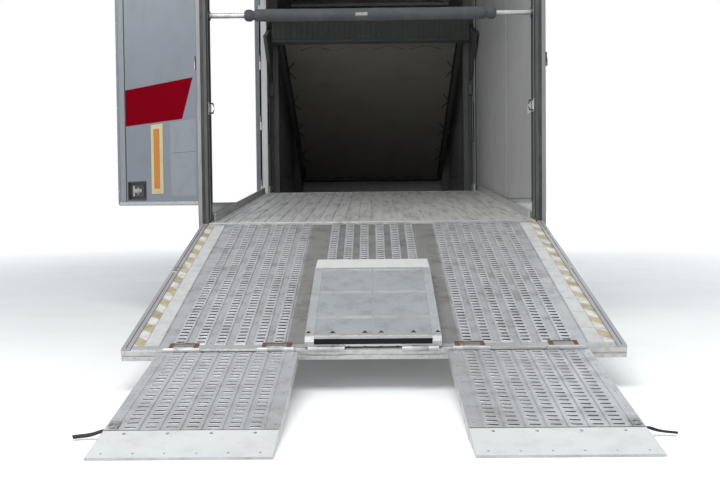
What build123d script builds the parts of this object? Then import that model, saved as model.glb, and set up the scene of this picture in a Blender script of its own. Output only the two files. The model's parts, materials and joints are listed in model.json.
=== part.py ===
# Enclosed two-axle car transporter truck with a lowered rear ramp.
# X is across (right is positive), Y is forward from the rear face of the body, Z is up from the ground.
# All sizes are in millimetres.
from build123d import *
from math import asin, atan2, cos, degrees, hypot, pi, radians, sin, tan
import os

# Body
body_half = 1275
post_width = 75
post_depth = 180
wall_out = 1255
wall_thick = 55
wall_in = wall_out - wall_thick
body_length = 9200
body_top = 4000
roof_thick = 60
skirt_z = 700
front_wall_thick = 60
portal_beam = 260
portal_beam_set = 100
portal_beam_thick = 70
post_foot_z = 560

# Load floor
floor_rear_z = 770
floor_level_z = 1020
floor_crest_y = 3700
floor_thick = 60
plank_pitch = 100
groove_width = 8
groove_depth = 6

# Rear ramp
ramp_hinge_y = -45
ramp_hinge_z = 740
ramp_slope = 13.2
ramp_half = 1240
ramp_length = 2480
ramp_top = 30
ramp_thick = 55
ramp_closed = 90 + ramp_slope
rail_width = 45
rail_lip = 8
ramp_root = 28
ramp_columns = (53, 156, 259, 470, 567, 664, 762, 863, 964)
ramp_column_half = 29
ramp_edge_strip = 1062

# Ramp flaps
flap_length = 1300
flap_width = 685
flap_inner = 365
flap_centre_width = 670
flap_thick = 45
flap_axis_up = 8
flap_axis_out = 20
flap_tip_thick = 8
flap_tip_length = 262
flap_rail = 45
knuckle_r = 12
flap_stowed = 177.6

# Side doors
door_axis_out = 12
door_leaf_thick = 40
door_bottom_z = 905
door_top_z = 3290
door_gap = 8
opening_front_y = 4190
jamb_proud = 8
rear_leaf_length = 1440
rear_leaf_angle = 40.4
front_leaf_angle = 180
door_open_most = 120
lock_size = (314, 145)
lock_from_end = 504
lock_up = 50

# Padded cross bar
bar_y = 140
bar_z = 2310
bar_r = 19
pad_r = 47.5
pad_half = 935

# Upper deck
deck_pivot_y = 4640
deck_pivot_z = 2850
deck_tilt = 22.4
deck_front = 4050
deck_rear = 320
deck_half = 1085
deck_rail = 50
deck_beam_half = 1145
deck_beam_thick = 60
deck_beam_low = -230
deck_beam_high = 80
deck_plank_thick = 30
deck_sheet_thick = 8
deck_sheet_margin = 15
deck_beam_pitch = 600
deck_pin_reach = 95
column_depth = 160
column_width = 105
guide_thick = 37
column_from_front = 900
pivot_pin_r = 30

# Running gear
tyre_r = 463
tyre_width = 292
tyre_bead_r = 288
tyre_sides = 60
rim_sides = 48
rear_axle_y = 4000
front_wheel_x = 1060
twin_inner_x = 725
twin_outer_x = 1045
rail_x = 385
rail_flange = 70
rail_height = 220
rail_wall = 8
rail_top_z = 900
rail_rear_y = 260
kingpin_x = 920
kingpin_r = 20
spindle_r = 45
steer_most = 38
tow_z = 790
tow_r = 16
tow_length = 100
running = 0.05

# Cab
cab_half = 1240
cab_gap = 220
cab_length = 2260
cab_rear_y = body_length + cab_gap
cab_front_y = cab_rear_y + cab_length
front_axle_y = cab_rear_y + 900
rail_front_y = cab_front_y - 380
cab_bottom_z = 1080
cab_roof_z = 3050
cab_wall = 45
cab_corner_r = 180
cab_floor_z = 1260
arch_r = 605
cab_door_rear_y = cab_rear_y + 820
cab_door_front_y = cab_front_y - 370
cab_door_bottom_z = 1180
cab_door_top_z = 2900
cab_door_most = 70
cab_door_thick = 40
tunnel_half = 400
tunnel_top_z = 1265
tunnel_front_y = cab_front_y - 580
screen_half = 1080
screen_base = (cab_front_y - 40, 1850)
screen_top = (cab_front_y - 330, 2850)
deflector_thick = 20
glass_thick = 5
cab_hinge_rows = (1400, 1950)
cab_barrel = 50
cab_barrel_r = 10
bumper_bottom_z = 300
liner_thick = 12

clear = 5
seat_gap = 0.3

# Worked out from the sizes above
post_in = body_half - post_width
floor_half = wall_in
floor_slope = degrees(atan2(floor_level_z - floor_rear_z, floor_crest_y))
floor_run = hypot(floor_level_z - floor_rear_z, floor_crest_y)
flap_hinge_z = (ramp_hinge_z - (ramp_length + flap_axis_out) * sin(radians(ramp_slope))
                + (ramp_top + flap_axis_up) * cos(radians(ramp_slope)))
flap_slope = degrees(asin((flap_hinge_z - flap_axis_up - flap_tip_thick) / flap_length))
flap_fold = 180 - (ramp_slope - flap_slope)
flap_mid_x = flap_inner + flap_width / 2
front_leaf_length = opening_front_y - post_depth - rear_leaf_length - 2 * door_gap - 2 * door_axis_out

os.makedirs("parts", exist_ok=True)


def block(x, y, z, mode=Mode.ADD):
    """Box between a low and a high limit on each axis of the current frame."""
    with Locations(((x[0] + x[1]) / 2, (y[0] + y[1]) / 2, (z[0] + z[1]) / 2)):
        Box(x[1] - x[0], y[1] - y[0], z[1] - z[0], mode=mode)


def rod_x(x, y, z, r, mode=Mode.ADD):
    """Round bar along X between two limits."""
    with Locations(Location(((x[0] + x[1]) / 2, y, z), (0, 90, 0))):
        Cylinder(r, x[1] - x[0], mode=mode)


def rod_y(x, y, z, r, mode=Mode.ADD):
    """Round bar along Y between two limits."""
    with Locations(Location((x, (y[0] + y[1]) / 2, z), (90, 0, 0))):
        Cylinder(r, y[1] - y[0], mode=mode)


def rod_z(x, y, z, r, mode=Mode.ADD):
    """Upright round bar between two limits."""
    with Locations((x, y, (z[0] + z[1]) / 2)):
        Cylinder(r, z[1] - z[0], mode=mode)


def prism(plane, points, length, mode=Mode.ADD):
    """Straight-sided outline carried along its plane's normal."""
    with BuildSketch(plane) as outline:
        Polygon(*points, align=None)
    extrude(outline.sketch, amount=length, mode=mode)


def ringed(centre, axis_x, profile, sides):
    """Adds a ring of flat faces: a closed outline of (distance along X, radius) set at even steps round X."""
    angles = [2 * pi * step / sides for step in range(sides)]
    rings = []
    for along, radius in profile:
        x = centre[0] + axis_x * along
        rings.append([Vector(x, centre[1] + radius * cos(turn), centre[2] + radius * sin(turn)) for turn in angles])
    faces = []
    for ring, after in zip(rings, rings[1:] + rings[:1]):
        for here in range(sides):
            there = (here + 1) % sides
            faces.append(Face(Wire.make_polygon([ring[here], ring[there], after[there], after[here]])))
    add(Solid(Shell(faces)))


finished = []


def keep(piece, name):
    """Names a finished piece and puts it with the others that are written at the end."""
    piece.part.label = name
    finished.append(piece.part)


def both_sides(names=("left", "right")):
    """The two sides of the vehicle with their sign on X."""
    return zip(names, (-1, 1))


def span(side, low, high):
    """Limits on X of something between two distances from the centreline, on one side."""
    return (low, high) if side > 0 else (-high, -low)


def floor_z(y):
    """Height of the load floor's top at a distance from the rear."""
    return floor_level_z - (floor_level_z - floor_rear_z) * max(0, 1 - y / floor_crest_y)


# Chassis frame
with BuildPart() as chassis_frame:
    rail_low_z = rail_top_z - rail_height
    drop = floor_level_z - floor_rear_z
    outline = [
        (rail_rear_y, rail_top_z - drop * (1 - rail_rear_y / floor_crest_y)),
        (floor_crest_y, rail_top_z),
        (rail_front_y, rail_top_z),
        (rail_front_y, rail_low_z + 60),
        (rail_front_y - 200, rail_low_z),
        (floor_crest_y, rail_low_z),
        (rail_rear_y, rail_low_z - drop * (1 - rail_rear_y / floor_crest_y)),
    ]
    for name, side in both_sides():
        x = span(side, rail_x, rail_x + rail_wall)
        prism(Plane.YZ.offset(x[0]), outline, rail_wall)
        flange = span(side, rail_x - rail_flange, rail_x)
        prism(Plane.YZ.offset(flange[0]), [
            outline[0], outline[1], outline[2],
            (rail_front_y, rail_top_z - rail_wall),
            (floor_crest_y, rail_top_z - rail_wall),
            (outline[0][0], outline[0][1] - rail_wall)], rail_flange)
        prism(Plane.YZ.offset(flange[0]), [
            outline[6], outline[5], outline[4],
            (outline[4][0], outline[4][1] + rail_wall),
            (floor_crest_y, rail_low_z + rail_wall),
            (outline[6][0], outline[6][1] + rail_wall)], rail_flange)
    for y in [body_length - 300 - 1400 * step for step in range(6)]:
        sink = drop * max(0, 1 - y / floor_crest_y)
        block((-rail_x, rail_x), (y - 35, y + 35), (rail_top_z - 150 - sink, rail_top_z - 60 - sink))
    rod_x((-rail_x, rail_x), rail_front_y - 120, rail_top_z - 110, 50)
    # Threaded socket for the front towing eye
    rod_y(rail_x, (rail_front_y - 40, rail_front_y + tow_length), tow_z, 30)
    rod_y(rail_x, (rail_front_y, rail_front_y + tow_length), tow_z, tow_r, Mode.SUBTRACT)
    # Cab mountings on the rails
    for name, side in both_sides():
        for y in (cab_rear_y + 100, tunnel_front_y + 100):
            block(span(side, rail_x - 50, tunnel_half + 90), (y - 40, y + 40), (rail_top_z, rail_top_z + 40))
            block(span(side, tunnel_half + 10, tunnel_half + 90), (y - 40, y + 40), (rail_top_z, cab_bottom_z))
    # Rear under-run bar on two brackets
    for name, side in both_sides():
        x = span(side, rail_x - 10, rail_x + rail_wall)
        block(x, (rail_rear_y - 120, rail_rear_y + 200), (450, 560))
    block((-1100, 1100), (rail_rear_y - 160, rail_rear_y - 60), (430, 550))
keep(chassis_frame, "chassis_frame")

# Engine
engine_half = 300
gearbox_rear_y = cab_rear_y + 80
with BuildPart() as engine_block:
    engine_rear_y = cab_rear_y + 530
    block((-engine_half, engine_half), (engine_rear_y, engine_rear_y + 1050), (620, 1180))
    block((-240, 240), (engine_rear_y + 100, engine_rear_y + 950), (520, 620))
    block((-150, 150), (gearbox_rear_y, engine_rear_y), (640, 940))
    for name, side in both_sides():
        block(span(side, engine_half, rail_x), (engine_rear_y + 450, engine_rear_y + 570), (720, 800))
keep(engine_block, "engine_block")

# Front axle: dropped beam, leaf springs and their hangers
hub_z = tyre_r
with BuildPart() as front_axle:
    spring_x = rail_x - rail_flange / 2
    beam_top = hub_z - 20
    prism(Plane.XZ.offset(-(front_axle_y + 45)), [
        (-kingpin_x, hub_z - 50), (-kingpin_x, hub_z + 50), (-760, hub_z + 40), (-560, beam_top),
        (560, beam_top), (760, hub_z + 40), (kingpin_x, hub_z + 50), (kingpin_x, hub_z - 50),
        (760, hub_z - 50), (520, beam_top - 100), (-520, beam_top - 100), (-760, hub_z - 50)], 90)
    for name, side in both_sides():
        rod_z(side * kingpin_x, front_axle_y, (hub_z - 70, hub_z + 70), 50)
        x = (side * spring_x - 35, side * spring_x + 35)
        for leaf in range(4):
            reach = 620 - 130 * leaf
            z = beam_top + 70 - 14 * leaf
            block(x, (front_axle_y - reach, front_axle_y + reach), (z, z + 14))
        block(x, (front_axle_y - 60, front_axle_y + 60), (beam_top, beam_top + 80))
        for y in (front_axle_y - 620, front_axle_y + 620):
            rod_x(x, y, beam_top + 77, 28)
            block(x, (y - 25, y + 25), (beam_top + 80, rail_top_z - rail_height))
    for name, side in both_sides():
        rod_z(side * kingpin_x, front_axle_y, (hub_z - 80, hub_z + 80), kingpin_r + running, Mode.SUBTRACT)
keep(front_axle, "front_axle")

# Rear axle: housing, differential, air springs and drive shaft
with BuildPart() as rear_axle:
    rod_x((-590, 590), rear_axle_y, hub_z, 75)
    rod_x((-twin_outer_x - 60, twin_outer_x + 60), rear_axle_y, hub_z, spindle_r)
    ringed((0, rear_axle_y, hub_z), 1, [
        (-195, 65), (-195, 90), (-130, 150), (-50, 190), (50, 190), (130, 150), (195, 90), (195, 65)], 24)
    rod_y(0, (rear_axle_y, rear_axle_y + 330), hub_z, 80)
    for name, side in both_sides():
        x = (side * spring_x - 45, side * spring_x + 45)
        block(x, (rear_axle_y - 450, rear_axle_y + 450), (hub_z + 50, hub_z + 110))
        for y in (rear_axle_y - 190, rear_axle_y + 190):
            rod_z(side * spring_x, y, (hub_z + 110, rail_top_z - rail_height), 105)
    shaft_start = Vector(0, rear_axle_y + 300, hub_z)
    shaft_end = Vector(0, gearbox_rear_y - 3, 700)
    with Locations(Plane(origin=shaft_start, z_dir=shaft_end - shaft_start)):
        Cylinder(45, (shaft_end - shaft_start).length, align=(Align.CENTER, Align.CENTER, Align.MIN))
keep(rear_axle, "rear_axle")

# Steering knuckles
for name, side in both_sides():
    with BuildPart() as knuckle:
        web = span(side, kingpin_x + 58, kingpin_x + 83)
        block(web, (front_axle_y - 50, front_axle_y + 50), (hub_z - 110, hub_z + 110))
        for z in ((hub_z - 110, hub_z - 75), (hub_z + 75, hub_z + 110)):
            rod_z(side * kingpin_x, front_axle_y, z, 42)
            block(span(side, kingpin_x, kingpin_x + 60), (front_axle_y - 42, front_axle_y + 42), z)
        rod_z(side * kingpin_x, front_axle_y, (hub_z - 110, hub_z + 110), kingpin_r)
        rod_x(span(side, kingpin_x + 83, front_wheel_x + 110), front_axle_y, hub_z, spindle_r)
        prism(Plane.XY.offset(hub_z - 110), [
            (side * (kingpin_x - 25), front_axle_y), (side * (kingpin_x + 25), front_axle_y),
            (side * (kingpin_x - 30), front_axle_y - 240), (side * (kingpin_x - 70), front_axle_y - 240)], 25)
    keep(knuckle, "knuckle_" + name)

# Tyres: the section is (distance from the tyre's middle, radius)
half = tyre_width / 2
tyre_section = [
    (-0.72 * half, tyre_bead_r), (-half, tyre_bead_r + 75), (-0.93 * half, tyre_r - 25),
    (-0.72 * half, tyre_r), (0.72 * half, tyre_r), (0.93 * half, tyre_r - 25),
    (half, tyre_bead_r + 75), (0.72 * half, tyre_bead_r)]
rim_half = 0.72 * half
rim_r = tyre_bead_r - 1


def rim(centre, out, dish, hub_out):
    """Wheel rim with a well, a dished disc and a hub; out is the side on X that the hub faces."""
    well = rim_r - 30
    hub_seat = spindle_r - 5
    ringed(centre, out, [
        (-rim_half, rim_r - 12), (-rim_half, rim_r), (rim_half, rim_r), (rim_half - 30, well), (dish + 14, well),
        (dish + 14, 150), (hub_out, 110), (hub_out, hub_seat), (dish - 60, hub_seat), (dish - 60, 110), (dish, 170),
        (dish, well), (30 - rim_half, well)], rim_sides)
    rod_x((centre[0] - 300, centre[0] + 300), centre[1], centre[2], spindle_r + running, Mode.SUBTRACT)


for name, side in both_sides():
    centre = (side * front_wheel_x, front_axle_y, hub_z)
    with BuildPart() as tyre:
        ringed(centre, 1, tyre_section, tyre_sides)
    keep(tyre, "tyre_front_" + name)
    with BuildPart() as front_rim:
        rim(centre, side, 70, 140)
        with Locations(Location(centre, (0, 90, 0))):
            with PolarLocations(205, 8):
                Cylinder(24, 400, mode=Mode.SUBTRACT)
    keep(front_rim, "rim_front_" + name)
    with BuildPart() as twin_tyres:
        for x in (twin_inner_x, twin_outer_x):
            ringed((side * x, rear_axle_y, hub_z), 1, tyre_section, tyre_sides)
    keep(twin_tyres, "tyres_rear_" + name)
    with BuildPart() as twin_rims:
        middle = (twin_inner_x + twin_outer_x) / 2
        rim((side * twin_outer_x, rear_axle_y, hub_z), side, middle - twin_outer_x, 60)
        rim((side * twin_inner_x, rear_axle_y, hub_z), -side, twin_inner_x - middle, 60)
        with Locations(Location((side * middle, rear_axle_y, hub_z), (0, 90, 0))):
            with PolarLocations(205, 8):
                Cylinder(24, 400, mode=Mode.SUBTRACT)
    keep(twin_rims, "rims_rear_" + name)

# Fuel tank on the right, battery box on the left, both hung on brackets from the frame
floor_beam_z = floor_level_z - 2 * floor_thick
tank_front_y = body_length - 900
with BuildPart() as fuel_tank:
    with BuildSketch(Plane.XZ.offset(-tank_front_y)) as section:
        with Locations((865, 650)):
            RectangleRounded(560, 460, 110)
    extrude(section.sketch, amount=1300)
    for y in (tank_front_y - 1050, tank_front_y - 250):
        block((rail_x + rail_wall, 600), (y - 40, y + 40), (rail_top_z - 180, rail_top_z - 60))
keep(fuel_tank, "fuel_tank")

with BuildPart() as battery_box:
    block((-1150, -560), (tank_front_y - 800, tank_front_y), (470, 880))
    fillet(battery_box.edges().filter_by(Axis.Y), 40)
    for y in (tank_front_y - 650, tank_front_y - 150):
        block((-600, -rail_x - rail_wall), (y - 40, y + 40), (rail_top_z - 180, rail_top_z - 60))
    for x in (-940, -700):
        rod_y(x, (tank_front_y - 2000, tank_front_y - 860), 600, 110)
    for y in (tank_front_y - 1800, tank_front_y - 1050):
        block((-1040, -rail_x - rail_wall), (y - 30, y + 30), (rail_top_z - 200, rail_top_z - 140))
        for x in (-940, -700):
            block((x - 30, x + 30), (y - 30, y + 30), (680, rail_top_z - 180))
    block((-1100, -600), (tank_front_y - 860, tank_front_y - 800), (520, 700))
keep(battery_box, "battery_box")

# Cross members under the load floor; those over the rear wheels stay between the tyres
slope_beams = [300 + 600 * step for step in range(5)] + [3200, floor_crest_y - 80]
level_beams = [rear_axle_y + 380] + [body_length - 800 - 600 * step for step in range(7)] + [body_length - 250]
floor_beams = slope_beams + level_beams
guard_posts = [body_length - 800 - 1200 * step for step in range(4)]
guard_rear_y = guard_posts[-1] - 120
guard_front_y = body_length - 150
guard_x = wall_in - clear
guard_height = 105
guard_rails = (430, skirt_z - clear - guard_height)
with BuildPart() as side_guards:
    for name, side in both_sides():
        for z in guard_rails:
            block(span(side, guard_x, guard_x + 30), (guard_rear_y, guard_front_y), (z, z + guard_height))
        for y in guard_posts:
            block(span(side, guard_x - 35, guard_x), (y - 30, y + 30), (guard_rails[0], floor_beam_z))
keep(side_guards, "side_guards")

# Mudguards: rubber flaps behind the wheels and liners over the front wheels
mudflap_y = rear_axle_y - 825
with BuildPart() as mudguards:
    for name, side in both_sides():
        block(span(side, 580, wall_in - clear), (mudflap_y, mudflap_y + 10), (170, floor_z(mudflap_y + 55) - 2 * floor_thick))
        with BuildSketch(Plane.YZ.offset(span(side, 880, 1235)[0])) as arch:
            with Locations((front_axle_y, hub_z)):
                Circle(arch_r + liner_thick)
                Circle(arch_r, mode=Mode.SUBTRACT)
            with Locations((front_axle_y, hub_z - 350)):
                Rectangle(1500, 800, mode=Mode.SUBTRACT)
        extrude(arch.sketch, amount=1235 - 880)
keep(mudguards, "mudguards")

# Load floor: grooved planks, level in front and sloping down to the rear, with the cross members
with BuildPart() as box_floor:
    front_y = body_length - front_wall_thick
    prism(Plane.YZ.offset(-floor_half), [
        (0, floor_rear_z), (floor_crest_y, floor_level_z), (front_y, floor_level_z),
        (front_y, floor_level_z - floor_thick), (floor_crest_y, floor_level_z - floor_thick),
        (0, floor_rear_z - floor_thick)], 2 * floor_half)
    for y in floor_beams:
        beam_half = 560 if abs(y - rear_axle_y) < tyre_r + 60 else floor_half
        top = floor_z(y) - floor_thick / 2
        low = floor_z(y + 30) - 2 * floor_thick
        block((-beam_half, beam_half), (y - 30, y + 30), (low, top))
    grooves = int(floor_half / plank_pitch)
    for groove in range(1 - grooves, grooves):
        x = groove * plank_pitch
        prism(Plane.YZ.offset(x - groove_width / 2), [
            (-1, floor_rear_z + 1), (floor_crest_y, floor_level_z + 1), (front_y + 1, floor_level_z + 1),
            (front_y + 1, floor_level_z - groove_depth), (floor_crest_y, floor_level_z - groove_depth),
            (-1, floor_rear_z - groove_depth)], groove_width, Mode.SUBTRACT)
keep(box_floor, "box_floor")

# Side walls with the side opening
opening_low_z = door_bottom_z - door_gap
opening_high_z = door_top_z + door_gap
hinge_rows = ((1020, 1110), (1750, 1840), (2440, 2530), (3080, 3170))


def wall_panel(side):
    """Side wall from the rear post to the front wall, open between post and jamb."""
    with BuildPart() as wall:
        x = span(side, wall_in, wall_out)
        block(x, (post_depth, body_length), (skirt_z, body_top - roof_thick))
        block(x, (post_depth, opening_front_y), (opening_low_z, opening_high_z), Mode.SUBTRACT)
        arch_low, arch_high = rear_axle_y - 600, rear_axle_y + 600
        prism(Plane.YZ.offset(x[0]), [
            (arch_low, skirt_z), (arch_low + 110, opening_low_z - 70), (arch_high - 110, opening_low_z - 70),
            (arch_high, skirt_z)], wall_thick, Mode.SUBTRACT)
        # Frame profile round the opening and rub rails along the inside
        block(span(side, wall_in - jamb_proud, wall_in), (opening_front_y, opening_front_y + 60), (floor_level_z, opening_high_z + 60))
        block(span(side, wall_in - jamb_proud, wall_in), (post_depth, opening_front_y), (opening_high_z, opening_high_z + 60))
        for low, high in hinge_rows:
            axis = (side * (wall_out + door_axis_out), opening_front_y - 6)
            rod_z(*axis, (low, high), door_axis_out - 3)
            block(span(side, wall_out - 5, wall_out + door_axis_out), (opening_front_y - 6, opening_front_y + 40), (low, high))
    return wall


for name, side in both_sides():
    wall = wall_panel(side)
    keep(wall, "box_wall_" + name)

with BuildPart() as box_front_wall:
    block((-wall_in, wall_in), (body_length - front_wall_thick, body_length), (rail_top_z, body_top - roof_thick))
keep(box_front_wall, "box_front_wall")

# Roof with rounded long edges, and ribs under it
with BuildPart() as box_roof:
    block((-wall_out, wall_out), (post_depth, body_length), (body_top - roof_thick, body_top))
    fillet(box_roof.edges().filter_by(Axis.Y).group_by(Axis.Z)[-1], 45)
    for y in range(900, body_length - 200, 900):
        block((-wall_in, wall_in), (y - 20, y + 20), (body_top - roof_thick - 40, body_top - roof_thick))
keep(box_roof, "box_roof")

# Rear portal: posts, header and sill with the ramp's hinge eyes
sill_low_z = 600
eye_places = (-1000, -600, -200, 200, 600, 1000)
eye_half = 35
with BuildPart() as rear_portal:
    for name, side in both_sides():
        x = span(side, post_in, body_half)
        block(x, (0, post_depth), (post_foot_z, body_top))
        with Locations(Location((side * (post_in - 6), bar_y, bar_z), (0, 90, 0))):
            Cylinder(34, 12)
            Cylinder(bar_r + seat_gap, 12, mode=Mode.SUBTRACT)
        for low, high in hinge_rows:
            axis = (side * (wall_out + door_axis_out), post_depth + 12)
            rod_z(*axis, (low, high), door_axis_out - 3)
            block(span(side, wall_out, wall_out + door_axis_out), (post_depth - 5, post_depth + 12), (low, high))
    block((-post_in, post_in), (portal_beam_set, portal_beam_set + portal_beam_thick), (body_top - portal_beam, body_top))
    block((-post_in, post_in), (0, 60), (sill_low_z, floor_rear_z - floor_thick))
    for x in eye_places:
        block((x - eye_half, x + eye_half), (ramp_hinge_y - 18, 0), (ramp_hinge_z - 80, ramp_hinge_z))
        rod_x((x - eye_half, x + eye_half), ramp_hinge_y, ramp_hinge_z, 20)
        rod_x((x - eye_half - 1, x + eye_half + 1), ramp_hinge_y, ramp_hinge_z, 10 + running, Mode.SUBTRACT)
keep(rear_portal, "rear_portal")

with BuildPart() as rear_lamps:
    for name, side in both_sides():
        block(span(side, 760, 1080), (rail_rear_y - 190, rail_rear_y - 160), (440, 540))
keep(rear_lamps, "rear_lamps")

# Padded cross bar between the posts
with BuildPart() as cross_bar:
    rod_x((-post_in, post_in), bar_y, bar_z, bar_r)
keep(cross_bar, "cross_bar")
with BuildPart() as bar_padding:
    rod_x((-pad_half, pad_half), bar_y, bar_z, pad_r)
    rod_x((-pad_half, pad_half), bar_y, bar_z, bar_r + seat_gap, Mode.SUBTRACT)
    fillet(bar_padding.edges().filter_by(GeomType.CIRCLE).group_by(SortBy.RADIUS)[-1], 18)
keep(bar_padding, "bar_padding")


# Side doors: each leaf is built flat in a frame on its hinge axis, x along the leaf and z up
def door_leaf(side, axis_y, toward_front, angle, length, lock_x):
    """Panel leaf with edge profiles, hinge barrels, a pin and a recessed lock."""
    turn = radians(angle)
    run = (side * sin(turn), toward_front * cos(turn), 0)
    place = Plane(origin=(side * (wall_out + door_axis_out), axis_y, 0), x_dir=run, z_dir=(0, 0, 1))
    inward = side * toward_front
    near = inward * door_axis_out
    far = inward * (door_axis_out + door_leaf_thick)
    thick = (min(near, far), max(near, far))
    middle = (near + far) / 2
    with BuildPart(place) as leaf:
        block((door_gap, length), thick, (door_bottom_z, door_top_z))
        fillet(leaf.edges().filter_by(lambda e: e.length < door_leaf_thick + 1), 30)
        # Edge profiles stand a little proud of the panel on both faces
        skin = (thick[0] - 3, thick[1] + 3)
        for x in ((door_gap, door_gap + 38), (length - 42, length - 4)):
            block(x, skin, (door_bottom_z + 32, door_top_z - 32))
        recess = (near - 0.45 * door_leaf_thick, near + 0.45 * door_leaf_thick)
        low_z = door_bottom_z + lock_up
        block((lock_x, lock_x + lock_size[0]), recess, (low_z, low_z + lock_size[1]), Mode.SUBTRACT)
        rod_y(lock_x + lock_size[0] / 2, (middle - 12, middle + 12), low_z + lock_size[1] / 2, 32)
        for low, high in hinge_rows:
            rod_z(0, 0, (high + seat_gap, high + 70), door_axis_out - 3)
            strip = (min(0, near + inward * 5), max(0, near + inward * 5))
            block((0, door_gap + 40), strip, (high + seat_gap, high + 70))
    return leaf


for name, side in both_sides():
    resting = rear_leaf_angle if side < 0 else 0
    leaf = door_leaf(side, post_depth + door_axis_out, 1, resting, rear_leaf_length, rear_leaf_length - lock_from_end)
    keep(leaf, "side_door_rear_" + name)
    resting = front_leaf_angle if side < 0 else 0
    leaf = door_leaf(side, opening_front_y - 6, -1, resting, front_leaf_length, front_leaf_length - lock_from_end)
    keep(leaf, "side_door_front_" + name)

# Ramp, built in its own frame: x across, y towards the hinge, z up from the driving face's plane
ramp_normal = (0, -sin(radians(ramp_slope)), cos(radians(ramp_slope)))
ramp_plane = Plane(origin=(0, ramp_hinge_y, ramp_hinge_z), x_dir=(1, 0, 0), z_dir=ramp_normal)
ramp_low = ramp_top - ramp_thick
flap_middles = (-flap_mid_x, 0, flap_mid_x)
flap_eye_spread = 230
flap_eye_half = 40
with BuildPart(ramp_plane) as ramp:
    inner = ramp_half - rail_width
    block((-inner, inner), (-ramp_length, -ramp_root), (ramp_top - 14, ramp_top - 4))
    for name, side in both_sides():
        block(span(side, inner, ramp_half), (-ramp_length, -ramp_root), (ramp_low, ramp_top + rail_lip))
        block(span(side, ramp_edge_strip, inner), (-ramp_length, -ramp_root), (ramp_top - 5, ramp_top))
        for x in ramp_columns:
            strip = span(side, x - ramp_column_half, x + ramp_column_half)
            block(strip, (-ramp_length + 60, -ramp_root), (ramp_top - 5, ramp_top))
    for x in (-950, -720, -480, -240, 0, 240, 480, 720, 950):
        block((x - 20, x + 20), (-ramp_length, -ramp_root), (ramp_low, ramp_top - 10))
    for y in (-ramp_length, -1900, -1300, -700, -ramp_root - 60):
        block((-inner, inner), (y, y + 60), (ramp_low, ramp_top - 4))
    # Knuckles between the eyes of the body's sill, on one pin
    for x in eye_places:
        rod_x((x + eye_half + seat_gap, x + eye_half + 60), 0, 0, 20)
        block((x + eye_half + seat_gap, x + eye_half + 60), (-ramp_root - 5, 0), (ramp_low + 6, ramp_low + 26))
        rod_x((x - eye_half - 1, x + eye_half + 2), 0, 0, 10)
    # Eyes for the flaps at the ramp's end
    hinge = (-ramp_length - flap_axis_out, ramp_top + flap_axis_up)
    for middle in flap_middles:
        for x in (middle - flap_eye_spread, middle + flap_eye_spread):
            rod_x((x - flap_eye_half, x + flap_eye_half), hinge[0], hinge[1], knuckle_r)
            block((x - flap_eye_half, x + flap_eye_half), (hinge[0], -ramp_length + 40), (ramp_top - 8, ramp_top + 3))
            rod_x((x - flap_eye_half - 1, x + flap_eye_half + 1), hinge[0], hinge[1], 5 + running, Mode.SUBTRACT)
keep(ramp, "ramp")


# Flaps, built in a frame on the hinge axis: x across, y towards the hinge, z up from the driving face
def flap_body(middle, width, angle):
    """Ramp flap with side rails, slotted plate, tapered tip and hinge knuckles."""
    turn = radians(ramp_slope - angle)
    normal = (0, -sin(turn), cos(turn))
    hinge_in_ramp = Vector(middle, -ramp_length - flap_axis_out, ramp_top + flap_axis_up)
    origin = ramp_plane.from_local_coords(hinge_in_ramp)
    place = Plane(origin=origin, x_dir=(1, 0, 0), z_dir=normal)
    top = -flap_axis_up
    low = top - flap_thick
    root = -12
    half = width / 2
    inside = half - flap_rail
    taper_y = -flap_length + flap_tip_length
    tip_section = [(taper_y, low), (taper_y, top), (-flap_length, top), (-flap_length, top - flap_tip_thick)]
    side_section = [(root, top), (-flap_length, top), (-flap_length, top - flap_tip_thick),
                    (taper_y, low), (root - 20, low), (root, low + 20)]
    with BuildPart(place) as flap:
        for low_x, high_x in ((-half, -inside), (inside, half)):
            with BuildSketch(Plane(place.from_local_coords(Vector(low_x, 0, 0)), x_dir=place.y_dir, z_dir=(1, 0, 0))) as side_face:
                Polygon(*side_section, align=None)
            extrude(side_face.sketch, amount=high_x - low_x)
        with BuildSketch(Plane(place.from_local_coords(Vector(-inside, 0, 0)), x_dir=place.y_dir, z_dir=(1, 0, 0))) as tip_face:
            Polygon(*tip_section, align=None)
        extrude(tip_face.sketch, amount=2 * inside)
        block((-inside, inside), (taper_y, root), (top - 10, top - 3))
        for row in range(7):
            x = (row - 3) * width / 8.4
            block((x - 34, x + 34), (taper_y, root), (top - 4, top))
            block((x - 8, x + 8), (taper_y, root), (low + 8, top - 8))
        for y in (-1020, -660, -300, root - 40):
            block((-inside, inside), (y, y + 40), (low, top - 3))
        for x in (-flap_eye_spread, flap_eye_spread):
            for low_x in (x - flap_eye_half - 50, x + flap_eye_half + seat_gap):
                rod_x((low_x, low_x + 50 - seat_gap), 0, 0, knuckle_r)
                block((low_x, low_x + 50 - seat_gap), (root - 6, 0), (-knuckle_r, top + 1))
            rod_x((x - flap_eye_half - 2, x + flap_eye_half + 2), 0, 0, 5)
    return flap


flap_bend = ramp_slope - flap_slope
for name, middle, width, angle in (("left", -flap_mid_x, flap_width, flap_bend),
                                   ("right", flap_mid_x, flap_width, flap_bend),
                                   ("centre", 0, flap_centre_width, flap_stowed)):
    keep(flap_body(middle, width, angle), "flap_" + name)


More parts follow.
